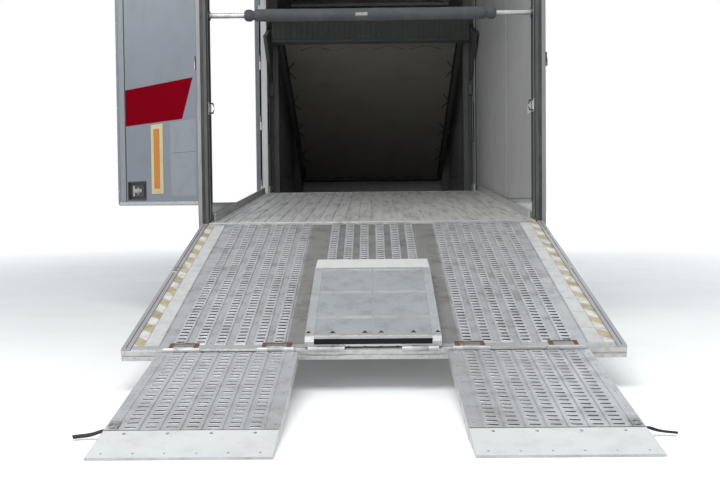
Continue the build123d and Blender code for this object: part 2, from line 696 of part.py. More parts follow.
# Pull straps on the two outer flaps: a limp loop that lies on the ground beside the flap
strap_r = 11
strap_points = ((1050.3, -3455, 34), (1072, -3455, 34), (1097, -3447, 23), (1128, -3444, 15),
                (1160, -3450, 13), (1183, -3462, 13))
for name, side in both_sides():
    with BuildPart() as strap:
        route = [Vector(side * x, y, z) for x, y, z in strap_points]
        radii = []
        for before, here, after in zip(route, route[1:], route[2:]):
            turn = radians((here - before).get_angle(after - here))
            radii.append(0.45 * min((here - before).length, (after - here).length) / tan(turn / 2))
        with BuildLine() as path:
            FilletPolyline(*route, radius=radii)
        with BuildSketch(Plane(origin=route[0], z_dir=route[1] - route[0])) as section:
            RegularPolygon(strap_r, 8)
        sweep(section.sketch, path=path.wire())
    keep(strap, "strap_" + name)
print("strap bends", [round(r) for r in radii], "length", round(path.wire().length))

# Upper deck, built in a frame on its pivot: x across, y forward along the deck, z up
turn = radians(deck_tilt)
deck_plane = Plane(origin=(0, deck_pivot_y, deck_pivot_z), x_dir=(1, 0, 0), z_dir=(0, sin(turn), cos(turn)))
with BuildPart(deck_plane) as deck_frame:
    for name, side in both_sides():
        block(span(side, deck_half - deck_rail, deck_half), (-deck_rear, deck_front), (-90, 60))
        rod_x(span(side, deck_half, deck_half + deck_pin_reach), 0, 0, pivot_pin_r)
    inside = deck_half - deck_rail
    block((-inside, inside), (-deck_rear, deck_front), (0, deck_plank_thick))
    block((-deck_beam_half, deck_beam_half), (-deck_rear, -deck_rear + deck_beam_thick), (deck_beam_low, deck_beam_high))
    block((-inside, inside), (deck_front - 80, deck_front), (-90, 60))
    for y in range(400, deck_front - 50, deck_beam_pitch):
        block((-inside, inside), (y - 25, y + 25), (-60, 0))
    for x in range(-900, 901, 200):
        block((x - 20, x + 20), (-deck_rear + deck_beam_thick, deck_front - 80), (deck_plank_thick, deck_plank_thick + 8))
keep(deck_frame, "deck_frame")
with BuildPart(deck_plane) as deck_sheet:
    sheet_half = inside - deck_sheet_margin
    block((-sheet_half, sheet_half), (0, deck_front - 95), (-60 - seat_gap - deck_sheet_thick, -60 - seat_gap))
keep(deck_sheet, "deck_sheet")

# Lift columns on the walls, with the bearing eyes of the deck's pivot pins
column_in = wall_in - column_width
with BuildPart() as lift_columns:
    for name, side in both_sides():
        for y in (deck_pivot_y, body_length - column_from_front):
            x = span(side, column_in, wall_in)
            block(x, (y - column_depth / 2, y + column_depth / 2), (floor_level_z, body_top - roof_thick - 60))
            hollow = span(side, column_in + 10, wall_in - 10)
            block(hollow, (y - column_depth / 2 + 10, y + column_depth / 2 - 10), (floor_level_z - 1, body_top), Mode.SUBTRACT)
            block(span(side, column_in, column_in + 10), (y - 12, y + 12), (floor_level_z + 150, 3600), Mode.SUBTRACT)
        block(span(side, column_in, wall_in), (deck_pivot_y - 70, deck_pivot_y + 70), (deck_pivot_z - 90, deck_pivot_z + 90))
        bore = span(side, column_in - clear, deck_half + deck_pin_reach + clear)
        rod_x(bore, deck_pivot_y, deck_pivot_z, pivot_pin_r + running, Mode.SUBTRACT)
keep(lift_columns, "lift_columns")

# Side plates behind the rear columns, which guide the ends of the deck's rear beam
column_rear_y = deck_pivot_y - column_depth / 2
guide_outline = [
    (deck_pivot_y - 790, deck_pivot_z - 80), (column_rear_y, deck_pivot_z + 150), (column_rear_y, deck_pivot_z - 685),
    (column_rear_y - 80, deck_pivot_z - 685), (column_rear_y - 80, deck_pivot_z - 520)]
with BuildPart() as deck_guides:
    for name, side in both_sides():
        guide_x = span(side, wall_in - jamb_proud - guide_thick, wall_in - jamb_proud)
        prism(Plane.YZ.offset(guide_x[0]), guide_outline, guide_thick)
keep(deck_guides, "deck_guides")

# Cab: outer form and the same form set in by a wall
cab_side = [
    (cab_rear_y, cab_bottom_z), (cab_front_y - 10, cab_bottom_z), (cab_front_y, cab_bottom_z + 220),
    screen_base, screen_top, (cab_front_y - 480, cab_roof_z - 60), (cab_front_y - 800, cab_roof_z),
    (cab_rear_y, cab_roof_z)]


def cab_form(inset):
    """Solid of the cab's side outline and plan outline, set in on every side."""
    with BuildPart() as form:
        with BuildSketch(Plane.YZ.offset(-cab_half + inset)) as side_view:
            Polygon(*cab_side, align=None)
            if inset:
                offset(amount=-inset, kind=Kind.INTERSECTION, mode=Mode.REPLACE)
        extrude(side_view.sketch, amount=2 * (cab_half - inset))
        with BuildSketch(Plane.XY.offset(cab_bottom_z)) as plan:
            with Locations((0, (cab_rear_y + cab_front_y) / 2)):
                Rectangle(2 * (cab_half - inset), cab_front_y - cab_rear_y - 2 * inset)
            fillet(plan.vertices().group_by(Axis.Y)[-1], cab_corner_r - inset)
        extrude(plan.sketch, amount=cab_roof_z - cab_bottom_z, mode=Mode.INTERSECT)
    return form.part


def door_outline(margin):
    """Outline of a cab door, with the window line's slope at the front, grown by a margin."""
    low, high = cab_door_bottom_z - margin, cab_door_top_z + margin
    rear, front = cab_door_rear_y - margin, cab_door_front_y + margin
    return [(rear, low), (front, low), (front, 2250), (front - 60, high - 200), (front - 130, high), (rear, high)]


window_rear_y = cab_door_rear_y + 90
window_front_y = cab_door_front_y - 80
window_outline = [(window_rear_y, 2010), (window_front_y, 1900), (window_front_y, 2240), (window_front_y - 100, 2800),
                  (window_rear_y, 2800)]
cab_outer = cab_form(0)
cab_inner = cab_form(cab_wall)
screen_run = Vector(0, screen_top[0] - screen_base[0], screen_top[1] - screen_base[1])
screen_mid = Vector(0, (screen_base[0] + screen_top[0]) / 2, (screen_base[1] + screen_top[1]) / 2)
screen_height = screen_run.length
screen_plane = Plane(origin=screen_mid, x_dir=(1, 0, 0), z_dir=Vector(1, 0, 0).cross(screen_run))
with BuildPart() as cab_shell:
    add(cab_outer)
    block((-tunnel_half - cab_wall, tunnel_half + cab_wall), (cab_rear_y, tunnel_front_y + cab_wall),
          (cab_bottom_z, tunnel_top_z + cab_wall))
    add(cab_inner, mode=Mode.SUBTRACT)
    block((-tunnel_half - cab_wall, tunnel_half + cab_wall), (cab_rear_y, tunnel_front_y + cab_wall),
          (cab_bottom_z, tunnel_top_z + cab_wall))
    block((-tunnel_half, tunnel_half), (cab_rear_y - 1, tunnel_front_y), (cab_bottom_z - 1, tunnel_top_z), Mode.SUBTRACT)
    with BuildSketch(screen_plane) as screen_cut:
        RectangleRounded(2 * screen_half, screen_height - 90, 80)
    extrude(screen_cut.sketch, amount=120, both=True, mode=Mode.SUBTRACT)
    for name, side in both_sides():
        prism(Plane.YZ.offset(span(side, cab_half - 120, cab_half + 20)[0]), door_outline(6), 140, Mode.SUBTRACT)
        for z in cab_hinge_rows:
            place = (side * cab_half, cab_door_front_y)
            rod_z(*place, (z - clear, z + cab_barrel), cab_barrel_r + clear, Mode.SUBTRACT)
            rod_z(*place, (z + cab_barrel + seat_gap, z + 2 * cab_barrel), cab_barrel_r)
            block(span(side, cab_half - 12, cab_half), (cab_door_front_y, cab_door_front_y + 30),
                  (z + cab_barrel + seat_gap, z + 2 * cab_barrel))
keep(cab_shell, "cab_shell")

with BuildPart() as windscreen:
    with BuildSketch(screen_plane.offset(12)) as pane:
        RectangleRounded(2 * screen_half, screen_height - 90, 80)
    extrude(pane.sketch, amount=glass_thick)
keep(windscreen, "windscreen")

handle_y = cab_door_rear_y + 60
mirror_rear_y = cab_door_front_y - 130
for name, side in both_sides():
    with BuildPart() as cab_door:
        prism(Plane.YZ.offset(span(side, cab_half - cab_door_thick, cab_half)[0]), door_outline(0), cab_door_thick)
        prism(Plane.YZ.offset(span(side, cab_half - 120, cab_half + 20)[0]), window_outline, 140, Mode.SUBTRACT)
        block(span(side, cab_half - 25, cab_half + 5), (handle_y, handle_y + 120), (1760, 1830), Mode.SUBTRACT)
        block(span(side, cab_half - 14, cab_half - 2), (handle_y - 10, handle_y + 130), (1780, 1805))
        for z in cab_hinge_rows:
            place = (side * cab_half, cab_door_front_y)
            rod_z(*place, (z + cab_barrel, z + 2 * cab_barrel + clear), cab_barrel_r + clear, Mode.SUBTRACT)
            rod_z(*place, (z, z + cab_barrel), cab_barrel_r)
    keep(cab_door, "cab_door_" + name)
    with BuildPart() as door_glass:
        prism(Plane.YZ.offset(span(side, cab_half - 22, cab_half - 22 + glass_thick)[0]), window_outline, glass_thick)
    keep(door_glass, "door_glass_" + name)
    with BuildPart() as mirror:
        block(span(side, 1310, 1490), (mirror_rear_y, mirror_rear_y + 90), (1900, 2480))
        chamfer(mirror.edges(), 22)
        block(span(side, 1325, 1475), (mirror_rear_y - 10, mirror_rear_y + 10), (1930, 2450), Mode.SUBTRACT)
        for z in (2000, 2440):
            block(span(side, cab_half, 1330), (mirror_rear_y + 35, mirror_rear_y + 65), (z - 15, z + 15))
    keep(mirror, "mirror_" + name)

with BuildPart() as cab_grille:
    block((-720, 720), (cab_front_y - 60, cab_front_y + 22), (1150, 1740))
    fillet(cab_grille.edges().filter_by(Axis.Y), 50)
    for row in range(5):
        z = 1210 + 105 * row
        block((-640, 640), (cab_front_y + 4, cab_front_y + 30), (z, z + 62), Mode.SUBTRACT)
    add(cab_outer, mode=Mode.SUBTRACT)
keep(cab_grille, "cab_grille")

# Roof deflector, open at the back
with BuildPart() as roof_deflector:
    front = cab_front_y - 620
    outline = [(cab_rear_y, cab_roof_z), (front, cab_roof_z), (front - 60, cab_roof_z + 80),
               (front - 900, 3720), (front - 1250, 3840), (cab_rear_y, 3870)]
    prism(Plane.YZ.offset(-1150), outline, 2300)
    fillet(roof_deflector.edges().filter_by(lambda e: abs(abs(e.center().X) - 1150) < 1 and e.center().Z > cab_roof_z + 100
           and e.center().Y > cab_rear_y + 5), 60)
    shell_gap = deflector_thick
    inner_outline = [(cab_rear_y - 1, cab_roof_z - 1), (front - 3 * shell_gap, cab_roof_z - 1),
                     (front - 60 - 2 * shell_gap, cab_roof_z + 80), (front - 900, 3720 - 2 * shell_gap),
                     (front - 1250, 3840 - 2 * shell_gap), (cab_rear_y - 1, 3870 - 2 * shell_gap)]
    prism(Plane.YZ.offset(-1110), inner_outline, 2220, Mode.SUBTRACT)
keep(roof_deflector, "roof_deflector")

# Front bumper: two corners with steps and lamp places, a plain panel and an intake grille.
# The intake is open on both sides of the bars, which leaves the way to the towing eye free.
intake_half = 500
bars_half = 300
bar_levels = (800, 860, 920)
intake = (tow_z - 60, 960)
bumper_y = (cab_front_y - 60, cab_front_y + 40)
corner_rear_y = front_axle_y + arch_r + liner_thick
for name, side in both_sides():
    with BuildPart() as bumper_corner:
        with BuildSketch(Plane.XY.offset(bumper_bottom_z)) as plan:
            with Locations((side * (intake_half + cab_half) / 2, (corner_rear_y + bumper_y[1]) / 2)):
                Rectangle(cab_half - intake_half, bumper_y[1] - corner_rear_y)
            fillet(plan.vertices().group_by(Axis.Y)[-1].sort_by(Axis.X)[-1 if side > 0 else 0], 160)
        extrude(plan.sketch, amount=cab_bottom_z - bumper_bottom_z)
        block(span(side, 0, 820), (front_axle_y, bumper_y[0]), (0, cab_bottom_z - 10), Mode.SUBTRACT)
        block(span(side, 0, 700), (front_axle_y, bumper_y[0]), (0, cab_bottom_z + 10), Mode.SUBTRACT)
        for low in (430, 720):
            block(span(side, 1060, 1300), (cab_door_front_y - 290, cab_door_front_y + 20),
                  (low, low + 210), Mode.SUBTRACT)
        block(span(side, 760, 1060), (cab_front_y - 30, cab_front_y + 60), (640, 820), Mode.SUBTRACT)
    keep(bumper_corner, "bumper_corner_" + name)

with BuildPart() as front_bumper:
    block((-intake_half, intake_half), bumper_y, (bumper_bottom_z, intake[0]))
keep(front_bumper, "front_bumper")

with BuildPart() as bumper_grille:
    block((-intake_half, intake_half), bumper_y, (intake[1], cab_bottom_z))
    for x in (-bars_half, bars_half):
        block((x - 12, x + 12), (bumper_y[0], cab_front_y + 20), intake)
    for z in bar_levels:
        block((-bars_half, bars_half), (bumper_y[0], cab_front_y + 20), (z - 12, z + 12))
keep(bumper_grille, "bumper_grille")

with BuildPart() as headlamps:
    for name, side in both_sides():
        block(span(side, 760, 1060), (cab_front_y - 30, cab_front_y + 34), (640, 820))
        for x in (840, 980):
            rod_y(side * x, (cab_front_y + 20, cab_front_y + 40), 730, 55)
keep(headlamps, "headlamps")

# Inside the cab
inner_floor_z = cab_bottom_z + cab_wall
seat_y = cab_rear_y + 450
with BuildPart() as cab_seats:
    for name, side in both_sides():
        x = span(side, 460, 960)
        block(span(side, 520, 900), (seat_y + 130, seat_y + 530), (inner_floor_z, inner_floor_z + 260))
        block(x, (seat_y + 90, seat_y + 600), (inner_floor_z + 260, inner_floor_z + 400))
        block(x, (seat_y, seat_y + 120), (inner_floor_z + 330, inner_floor_z + 1050))
        block(span(side, 570, 850), (seat_y + 10, seat_y + 110), (inner_floor_z + 1040, inner_floor_z + 1220))
    block((-1100, 1100), (cab_rear_y + cab_wall, seat_y - 10), (1600, 1740))
keep(cab_seats, "cab_seats")

dash_outline = [(cab_front_y - 530, 1480), (cab_front_y - 40, 1480), (cab_front_y - 90, 1790), (cab_front_y - 200, 1800),
                (cab_front_y - 490, 1700)]
with BuildPart() as dashboard:
    prism(Plane.YZ.offset(-1190), dash_outline, 2380)
    add(cab_inner, mode=Mode.INTERSECT)
    wheel_centre = (-700, cab_front_y - 660, 1780)
    wheel_plane = Plane(origin=wheel_centre, x_dir=(1, 0, 0), z_dir=(0, sin(radians(60)), -cos(radians(60))))
    with BuildSketch(wheel_plane.offset(-14)) as wheel_rim:
        RegularPolygon(236, 24)
        RegularPolygon(206, 24, mode=Mode.SUBTRACT)
    extrude(wheel_rim.sketch, amount=28)
    with Locations(wheel_plane):
        Cylinder(60, 30)
        Box(430, 30, 16)
        Cylinder(28, 260, align=(Align.CENTER, Align.CENTER, Align.MIN))
keep(dashboard, "dashboard")

# The model's origin is on the ground under the middle of the bounding box
boxes = [piece.bounding_box() for piece in finished]
middle_x = (min(b.min.X for b in boxes) + max(b.max.X for b in boxes)) / 2
middle_y = (min(b.min.Y for b in boxes) + max(b.max.Y for b in boxes)) / 2
low_z = min(b.min.Z for b in boxes)
for piece in finished:
    placed = piece.moved(Location((-middle_x, -middle_y, -low_z)))
    placed.label = piece.label
    export_step(placed, "parts/" + piece.label + ".step")
print("origin at", round(middle_x, 3), round(middle_y, 3), round(low_z, 3), "pieces", len(finished))
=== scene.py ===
"""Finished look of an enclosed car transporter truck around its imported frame.

Lengths are in metres. "Truck" coordinates have X to the right, Y forward from the rear face of the body and
Z up from the ground; `Place.spot` moves them into the frame's own coordinates.
"""
import json
import logging
import math
from dataclasses import dataclass
from enum import Enum

import bpy
import numpy as np
from mathutils import Matrix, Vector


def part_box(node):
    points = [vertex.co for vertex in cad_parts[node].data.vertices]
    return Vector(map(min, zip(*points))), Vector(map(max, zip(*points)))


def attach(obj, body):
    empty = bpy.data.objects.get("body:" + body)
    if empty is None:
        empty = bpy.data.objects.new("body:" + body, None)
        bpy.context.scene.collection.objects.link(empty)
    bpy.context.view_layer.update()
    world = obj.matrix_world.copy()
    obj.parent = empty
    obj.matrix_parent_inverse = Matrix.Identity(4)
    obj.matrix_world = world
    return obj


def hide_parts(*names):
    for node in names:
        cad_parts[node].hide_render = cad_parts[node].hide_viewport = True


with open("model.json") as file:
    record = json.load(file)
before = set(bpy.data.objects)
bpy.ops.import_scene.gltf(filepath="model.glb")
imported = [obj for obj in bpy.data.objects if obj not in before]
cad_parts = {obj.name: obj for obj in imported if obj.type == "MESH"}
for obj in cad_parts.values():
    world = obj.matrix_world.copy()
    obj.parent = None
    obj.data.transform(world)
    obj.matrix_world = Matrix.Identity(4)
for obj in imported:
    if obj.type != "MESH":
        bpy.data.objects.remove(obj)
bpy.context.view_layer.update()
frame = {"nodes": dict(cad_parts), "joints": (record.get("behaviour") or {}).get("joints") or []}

LOG = logging.getLogger("transporter")
Array = np.ndarray
UP = np.array((0.0, 0.0, 1.0))


# Places and local frames

@dataclass(frozen=True)
class Place:
    """Where the truck's own zero lies in the frame's coordinates."""

    x: float
    y: float

    def spot(self, points) -> Array:
        """Truck coordinates to frame coordinates.

        Args:
            points: one point or an array of points in truck coordinates.

        Returns:
            The same points in the frame's coordinates.
        """
        return np.asarray(points, float) + np.array((self.x, self.y, 0.0))


FLOOR_LOW, FLOOR_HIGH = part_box("box_floor")
PLACE = Place((FLOOR_LOW.x + FLOOR_HIGH.x) / 2, FLOOR_LOW.y)


@dataclass(frozen=True)
class Axes:
    """A local frame: an origin and three unit directions, in the frame's coordinates."""

    origin: tuple
    x: tuple
    y: tuple
    z: tuple

    def out(self, points) -> Array:
        """Local points to frame coordinates: the origin plus each coordinate times its direction."""
        return np.asarray(points, float) @ np.array((self.x, self.y, self.z)) + np.array(self.origin)


def truck_axes() -> Axes:
    """The truck's own frame, turned with the frame's axes."""
    return Axes(tuple(PLACE.spot((0, 0, 0))), (1, 0, 0), (0, 1, 0), (0, 0, 1))


def node_box(name: str) -> tuple[Array, Array]:
    """Low and high corner of a CAD node in truck coordinates."""
    return tuple(np.array(corner) - PLACE.spot((0, 0, 0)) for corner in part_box(name))


def joint_place(name: str) -> Array:
    """Position of a joint's axis in the frame's coordinates."""
    return np.array(next(j["pos_m"] for j in frame["joints"] if j["name"] == name))


def sloped_axes(origin, slope: float) -> Axes:
    """Frame on a surface that falls to the rear: y runs up the slope, z is square to it.

    Args:
        origin: a point on the hinge axis.
        slope: fall to the rear in degrees.

    Returns:
        The local frame.
    """
    s, c = math.sin(math.radians(slope)), math.cos(math.radians(slope))
    return Axes(tuple(origin), (1, 0, 0), (0, c, s), (0, -s, c))


# Meshes from arrays

class Shape:
    """Collects pieces of mesh as arrays and makes one object of them."""

    def __init__(self) -> None:
        """Starts empty."""
        self.points: list[Array] = []
        self.faces: list[Array] = []
        self.slots: list[Array] = []
        self.count = 0

    def add(self, points: Array, faces: list, slot: int = 0) -> None:
        """Adds points with faces that number them from zero.

        Args:
            points: array of n by 3.
            faces: arrays of m by k corner numbers, one array for each k.
            slot: material slot of these faces.
        """
        for group in faces:
            group = np.asarray(group, int)
            self.faces.append(group + self.count)
            self.slots.append(np.full(len(group), slot))
        self.points.append(np.asarray(points, float))
        self.count += len(points)

    def copies(self, points: Array, faces: list, places: Array, slot: int = 0) -> None:
        """Adds one template at many places: every place is added to every template point.

        Args:
            points: the template, n by 3.
            faces: the template's faces.
            places: m by 3 positions, or m by n by 3 whole copies.
            slot: material slot.
        """
        places = np.asarray(places, float)
        cloud = places[:, None, :] + points[None] if places.ndim == 2 else places
        steps = np.arange(len(cloud))[:, None, None] * len(points)
        groups = [(np.asarray(g, int)[None] + steps).reshape(-1, len(g[0])) for g in faces]
        self.add(cloud.reshape(-1, 3), groups, slot)

    def build(self, name: str, finishes: list, body: str, crease: float = 35.0) -> bpy.types.Object:
        """Makes the object and lets it ride on its body.

        Args:
            name: the piece's name.
            finishes: materials in slot order.
            body: CAD body that carries it.
            crease: edges that turn more than this many degrees stay sharp.

        Returns:
            The new object.
        """
        corners = np.concatenate([g.ravel() for g in self.faces])
        totals = np.concatenate([np.full(len(g), g.shape[1]) for g in self.faces])
        mesh = bpy.data.meshes.new(name)
        points = np.concatenate(self.points)
        mesh.vertices.add(len(points))
        mesh.vertices.foreach_set("co", points.astype(np.float32).ravel())
        mesh.loops.add(len(corners))
        mesh.loops.foreach_set("vertex_index", corners.astype(np.int32))
        mesh.polygons.add(len(totals))
        mesh.polygons.foreach_set("loop_start", (np.cumsum(totals) - totals).astype(np.int32))
        mesh.polygons.foreach_set("material_index", np.concatenate(self.slots).astype(np.int32))
        mesh.update(calc_edges=True)
        mesh.polygons.foreach_set("use_smooth", np.ones(len(totals), bool))
        mesh.set_sharp_from_angle(angle=math.radians(crease))
        piece = bpy.data.objects.new(name.replace(" ", "_"), mesh)
        bpy.context.scene.collection.objects.link(piece)
        for finish in finishes:
            mesh.materials.append(finish)
        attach(piece, body)
        LOG.info("%s: %d faces", name, len(totals))
        return piece


def about(middle: float, half: float) -> tuple[float, float]:
    """Limits at one distance on both sides of a middle."""
    return middle - half, middle + half


def across(side: int, low: float, high: float) -> tuple[float, float]:
    """Limits on x for one side of the truck: mirrored on the left, where the side is -1."""
    return (low, high) if side > 0 else (-high, -low)


def grid_quads(rows: int, columns: int, closed: bool = True, ringed: bool = False) -> Array:
    """Faces between neighbours of a grid of points that are numbered row by row.

    Args:
        rows: rows of points.
        columns: points in each row.
        closed: the end of each row meets its start.
        ringed: the last row meets the first one.

    Returns:
        Corner numbers, four for each face.
    """
    i, j = np.meshgrid(np.arange(rows - (not ringed)), np.arange(columns - (not closed)), indexing="ij")
    down, right = (i + 1) % rows, (j + 1) % columns
    corners = (i * columns + j, i * columns + right, down * columns + right, down * columns + j)
    return np.stack(corners, -1).reshape(-1, 4)


def outward(points: Array, faces: list) -> list:
    """Turns each face of a convex template so that it looks away from the template's middle.

    Args:
        points: the template's points.
        faces: arrays of corner numbers.

    Returns:
        The faces, turned where needed.
    """
    middle = points.mean(0)
    turned = []
    for group in faces:
        group = np.array(group)
        a, b, c = (points[group[:, i]] for i in range(3))
        side = np.einsum("ij,ij->i", np.cross(b - a, c - a), points[group].mean(1) - middle)
        group[side < 0] = group[side < 0][:, ::-1]
        turned.append(group)
    return turned


def slab(size, chamfer: float = 0.001) -> tuple[Array, list]:
    """Box with chamfered edges round the origin: each corner is split in three points, one on each face.

    Args:
        size: full length on each axis.
        chamfer: width taken off each edge.

    Returns:
        Points and faces.
    """
    half = np.array(size, float) / 2
    c = min(chamfer, float(half.min()) * 0.9)
    signs = np.array([(x, y, z) for x in (-1, 1) for y in (-1, 1) for z in (-1, 1)], float)
    points = np.array([sign * (half - c * (np.arange(3) != axis)) for sign in signs for axis in range(3)])
    number = {tuple(sign): i * 3 for i, sign in enumerate(signs)}
    quads, corners = [], [[i * 3, i * 3 + 1, i * 3 + 2] for i in range(8)]
    for axis in range(3):
        u, v = [a for a in range(3) if a != axis]
        for side in (-1, 1):
            loop = []
            for su, sv in ((-1, -1), (1, -1), (1, 1), (-1, 1)):
                key = [0, 0, 0]
                key[axis], key[u], key[v] = side, su, sv
                loop.append(number[tuple(map(float, key))] + axis)
            quads.append(loop)
        for su in (-1, 1):
            for sv in (-1, 1):
                ends = []
                for side in (-1, 1):
                    key = [0, 0, 0]
                    key[axis], key[u], key[v] = side, su, sv
                    ends.append(number[tuple(map(float, key))])
                quads.append([ends[0] + u, ends[1] + u, ends[1] + v, ends[0] + v])
    return points, outward(points, [quads, corners])


def put_slab(shape: Shape, axes: Axes, x, y, z, chamfer: float = 0.001, slot: int = 0) -> None:
    """Adds a chamfered box between limits of a local frame.

    Args:
        shape: shape to add to.
        axes: local frame of the limits.
        x, y, z: low and high limit on each axis.
        chamfer: width taken off each edge.
        slot: material slot.
    """
    points, faces = slab((x[1] - x[0], y[1] - y[0], z[1] - z[0]), chamfer)
    middle = np.array(((x[0] + x[1]) / 2, (y[0] + y[1]) / 2, (z[0] + z[1]) / 2))
    shape.add(axes.out(points + middle), faces, slot)


def put_slabs(shape: Shape, axes: Axes, rows, side: int = 1) -> None:
    """Adds chamfered boxes from rows of limits on x, y and z, chamfer and slot.

    Args:
        shape: shape to add to.
        axes: local frame of the limits.
        rows: one box a row.
        side: -1 mirrors the boxes to the left.
    """
    for x, y, z, chamfer, slot in rows:
        put_slab(shape, axes, across(side, *x), y, z, chamfer, slot)


def dome(radius: float, height: float, around: int = 8) -> tuple[Array, list]:
    """Low button head on z = 0: two rings and a top point.

    Args:
        radius: radius of the foot.
        height: height of the top.
        around: points in each ring.

    Returns:
        Points and faces.
    """
    angle = np.arange(around) * 2 * math.pi / around
    ring = np.stack((np.cos(angle), np.sin(angle), np.zeros(around)), 1)
    points = np.concatenate((ring * radius, ring * radius * 0.75 + UP * height * 0.8, [UP * height]))
    i = np.arange(around)
    fan = np.stack((i + around, (i + 1) % around + around, np.full(around, 2 * around)), 1)
    return points, [grid_quads(2, around), fan]


def put_domes(shape: Shape, axes: Axes, places, radius: float, height: float, slot: int = 0) -> None:
    """Adds button heads at places of a local frame, standing on its z.

    Args:
        shape: shape to add to.
        axes: local frame of the places.
        places: n by 3 places.
        radius: radius of the foot.
        height: height of the top.
        slot: material slot.
    """
    points, faces = dome(radius, height)
    places = np.asarray(places, float)
    cloud = places[:, None, :] + points[None]
    shape.copies(points, faces, axes.out(cloud.reshape(-1, 3)).reshape(len(places), -1, 3), slot)


def path_frames(path: Array, up=UP) -> tuple[Array, Array]:
    """Side and top directions along a path: the side is square to the run and to the up direction.

    Args:
        path: n by 3 points.
        up: direction that the top keeps to.

    Returns:
        Sides and tops, n by 3 each.
    """
    run = np.gradient(path, axis=0)
    run /= np.linalg.norm(run, axis=1)[:, None]
    side = np.cross(run, np.asarray(up, float))
    side /= np.maximum(np.linalg.norm(side, axis=1), 1e-9)[:, None]
    return side, np.cross(side, run)


def outline_area(outline: Array) -> float:
    """Twice the area inside a closed outline: over zero where it runs anticlockwise."""
    x, y = outline.T
    return np.sum(x * np.roll(y, -1) - np.roll(x, -1) * y)


def carried(path: Array, profile: Array, up=UP, caps: bool = True) -> tuple[Array, list]:
    """Profile carried along a path: point i, j is path i plus profile j across and up.

    Args:
        path: n by 3 points.
        profile: closed outline, k by 2, across and up.
        up: direction that the profile's second axis keeps to.
        caps: close the two ends.

    Returns:
        Points and faces.
    """
    side, top = path_frames(path, up)
    points = path[:, None] + profile[None, :, :1] * side[:, None] + profile[None, :, 1:] * top[:, None]
    n, k = len(path), len(profile)
    quads = grid_quads(n, k)
    area = outline_area(profile)
    if area < 0:
        quads = quads[:, ::-1]
    faces = [quads]
    if caps:
        first, last = np.arange(k), np.arange(k) + (n - 1) * k
        faces.append(np.stack((first[::-1], last) if area > 0 else (first, last[::-1])))
    return points.reshape(-1, 3), faces


def rounded(corners: Array, reach: float, steps: int = 6) -> Array:
    """Closed outline with each corner drawn as a quadratic curve between points on its two sides.

    Args:
        corners: n by 3 corners.
        reach: distance from a corner to the ends of its curve.
        steps: points on each curve.

    Returns:
        Points of the outline, of which the first two stand again at the end.
    """
    points = []
    for n, here in enumerate(corners):
        before, after = corners[n - 1], corners[(n + 1) % len(corners)]
        a, b = (here + (other - here) / np.linalg.norm(other - here) * reach for other in (before, after))
        points += [(1 - u) ** 2 * a + 2 * u * (1 - u) * here + u * u * b for u in np.linspace(0, 1, steps)]
    return np.array(points + points[:2])


def circle(radius: float, around: int = 12) -> Array:
    """Round outline, k by 2."""
    angle = np.arange(around) * 2 * math.pi / around
    return np.stack((np.cos(angle), np.sin(angle)), 1) * radius


def put_tube(shape: Shape, path, radius: float, around: int = 12, slot: int = 0, up=UP) -> None:
    """Adds a round tube along a path in frame coordinates.

    Args:
        shape: shape to add to.
        path: n by 3 points of its middle line.
        radius: radius of the tube.
        around: points round it.
        slot: material slot.
        up: direction that keeps it from twisting.
    """
    points, faces = carried(np.asarray(path, float), circle(radius, around), up)
    shape.add(points, faces, slot)


def put_lathe(shape: Shape, profile, centre, axis=(1.0, 0.0, 0.0), around: int = 48, slot: int = 0) -> None:
    """Adds a closed profile of (distance along the axis, radius) turned about an axis.

    Args:
        shape: shape to add to.
        profile: closed outline with its points in order.
        centre: point on the axis, in frame coordinates.
        axis: direction of the axis.
        around: steps round the axis.
        slot: material slot.
    """
    profile = np.asarray(profile, float)
    axis = np.asarray(axis, float)
    first = np.cross(axis, UP if abs(axis[2]) < 0.9 else np.array((1.0, 0, 0)))
    first /= np.linalg.norm(first)
    second = np.cross(axis, first)
    angle = np.arange(around) * 2 * math.pi / around
    spokes = np.cos(angle)[:, None] * first + np.sin(angle)[:, None] * second
    points = np.asarray(centre) + profile[None, :, :1] * axis + profile[None, :, 1:] * spokes[:, None]
    quads = grid_quads(around, len(profile), ringed=True)
    if outline_area(profile) > 0:
        quads = quads[:, ::-1]
    shape.add(points.reshape(-1, 3), [quads], slot)


# Shader nodes

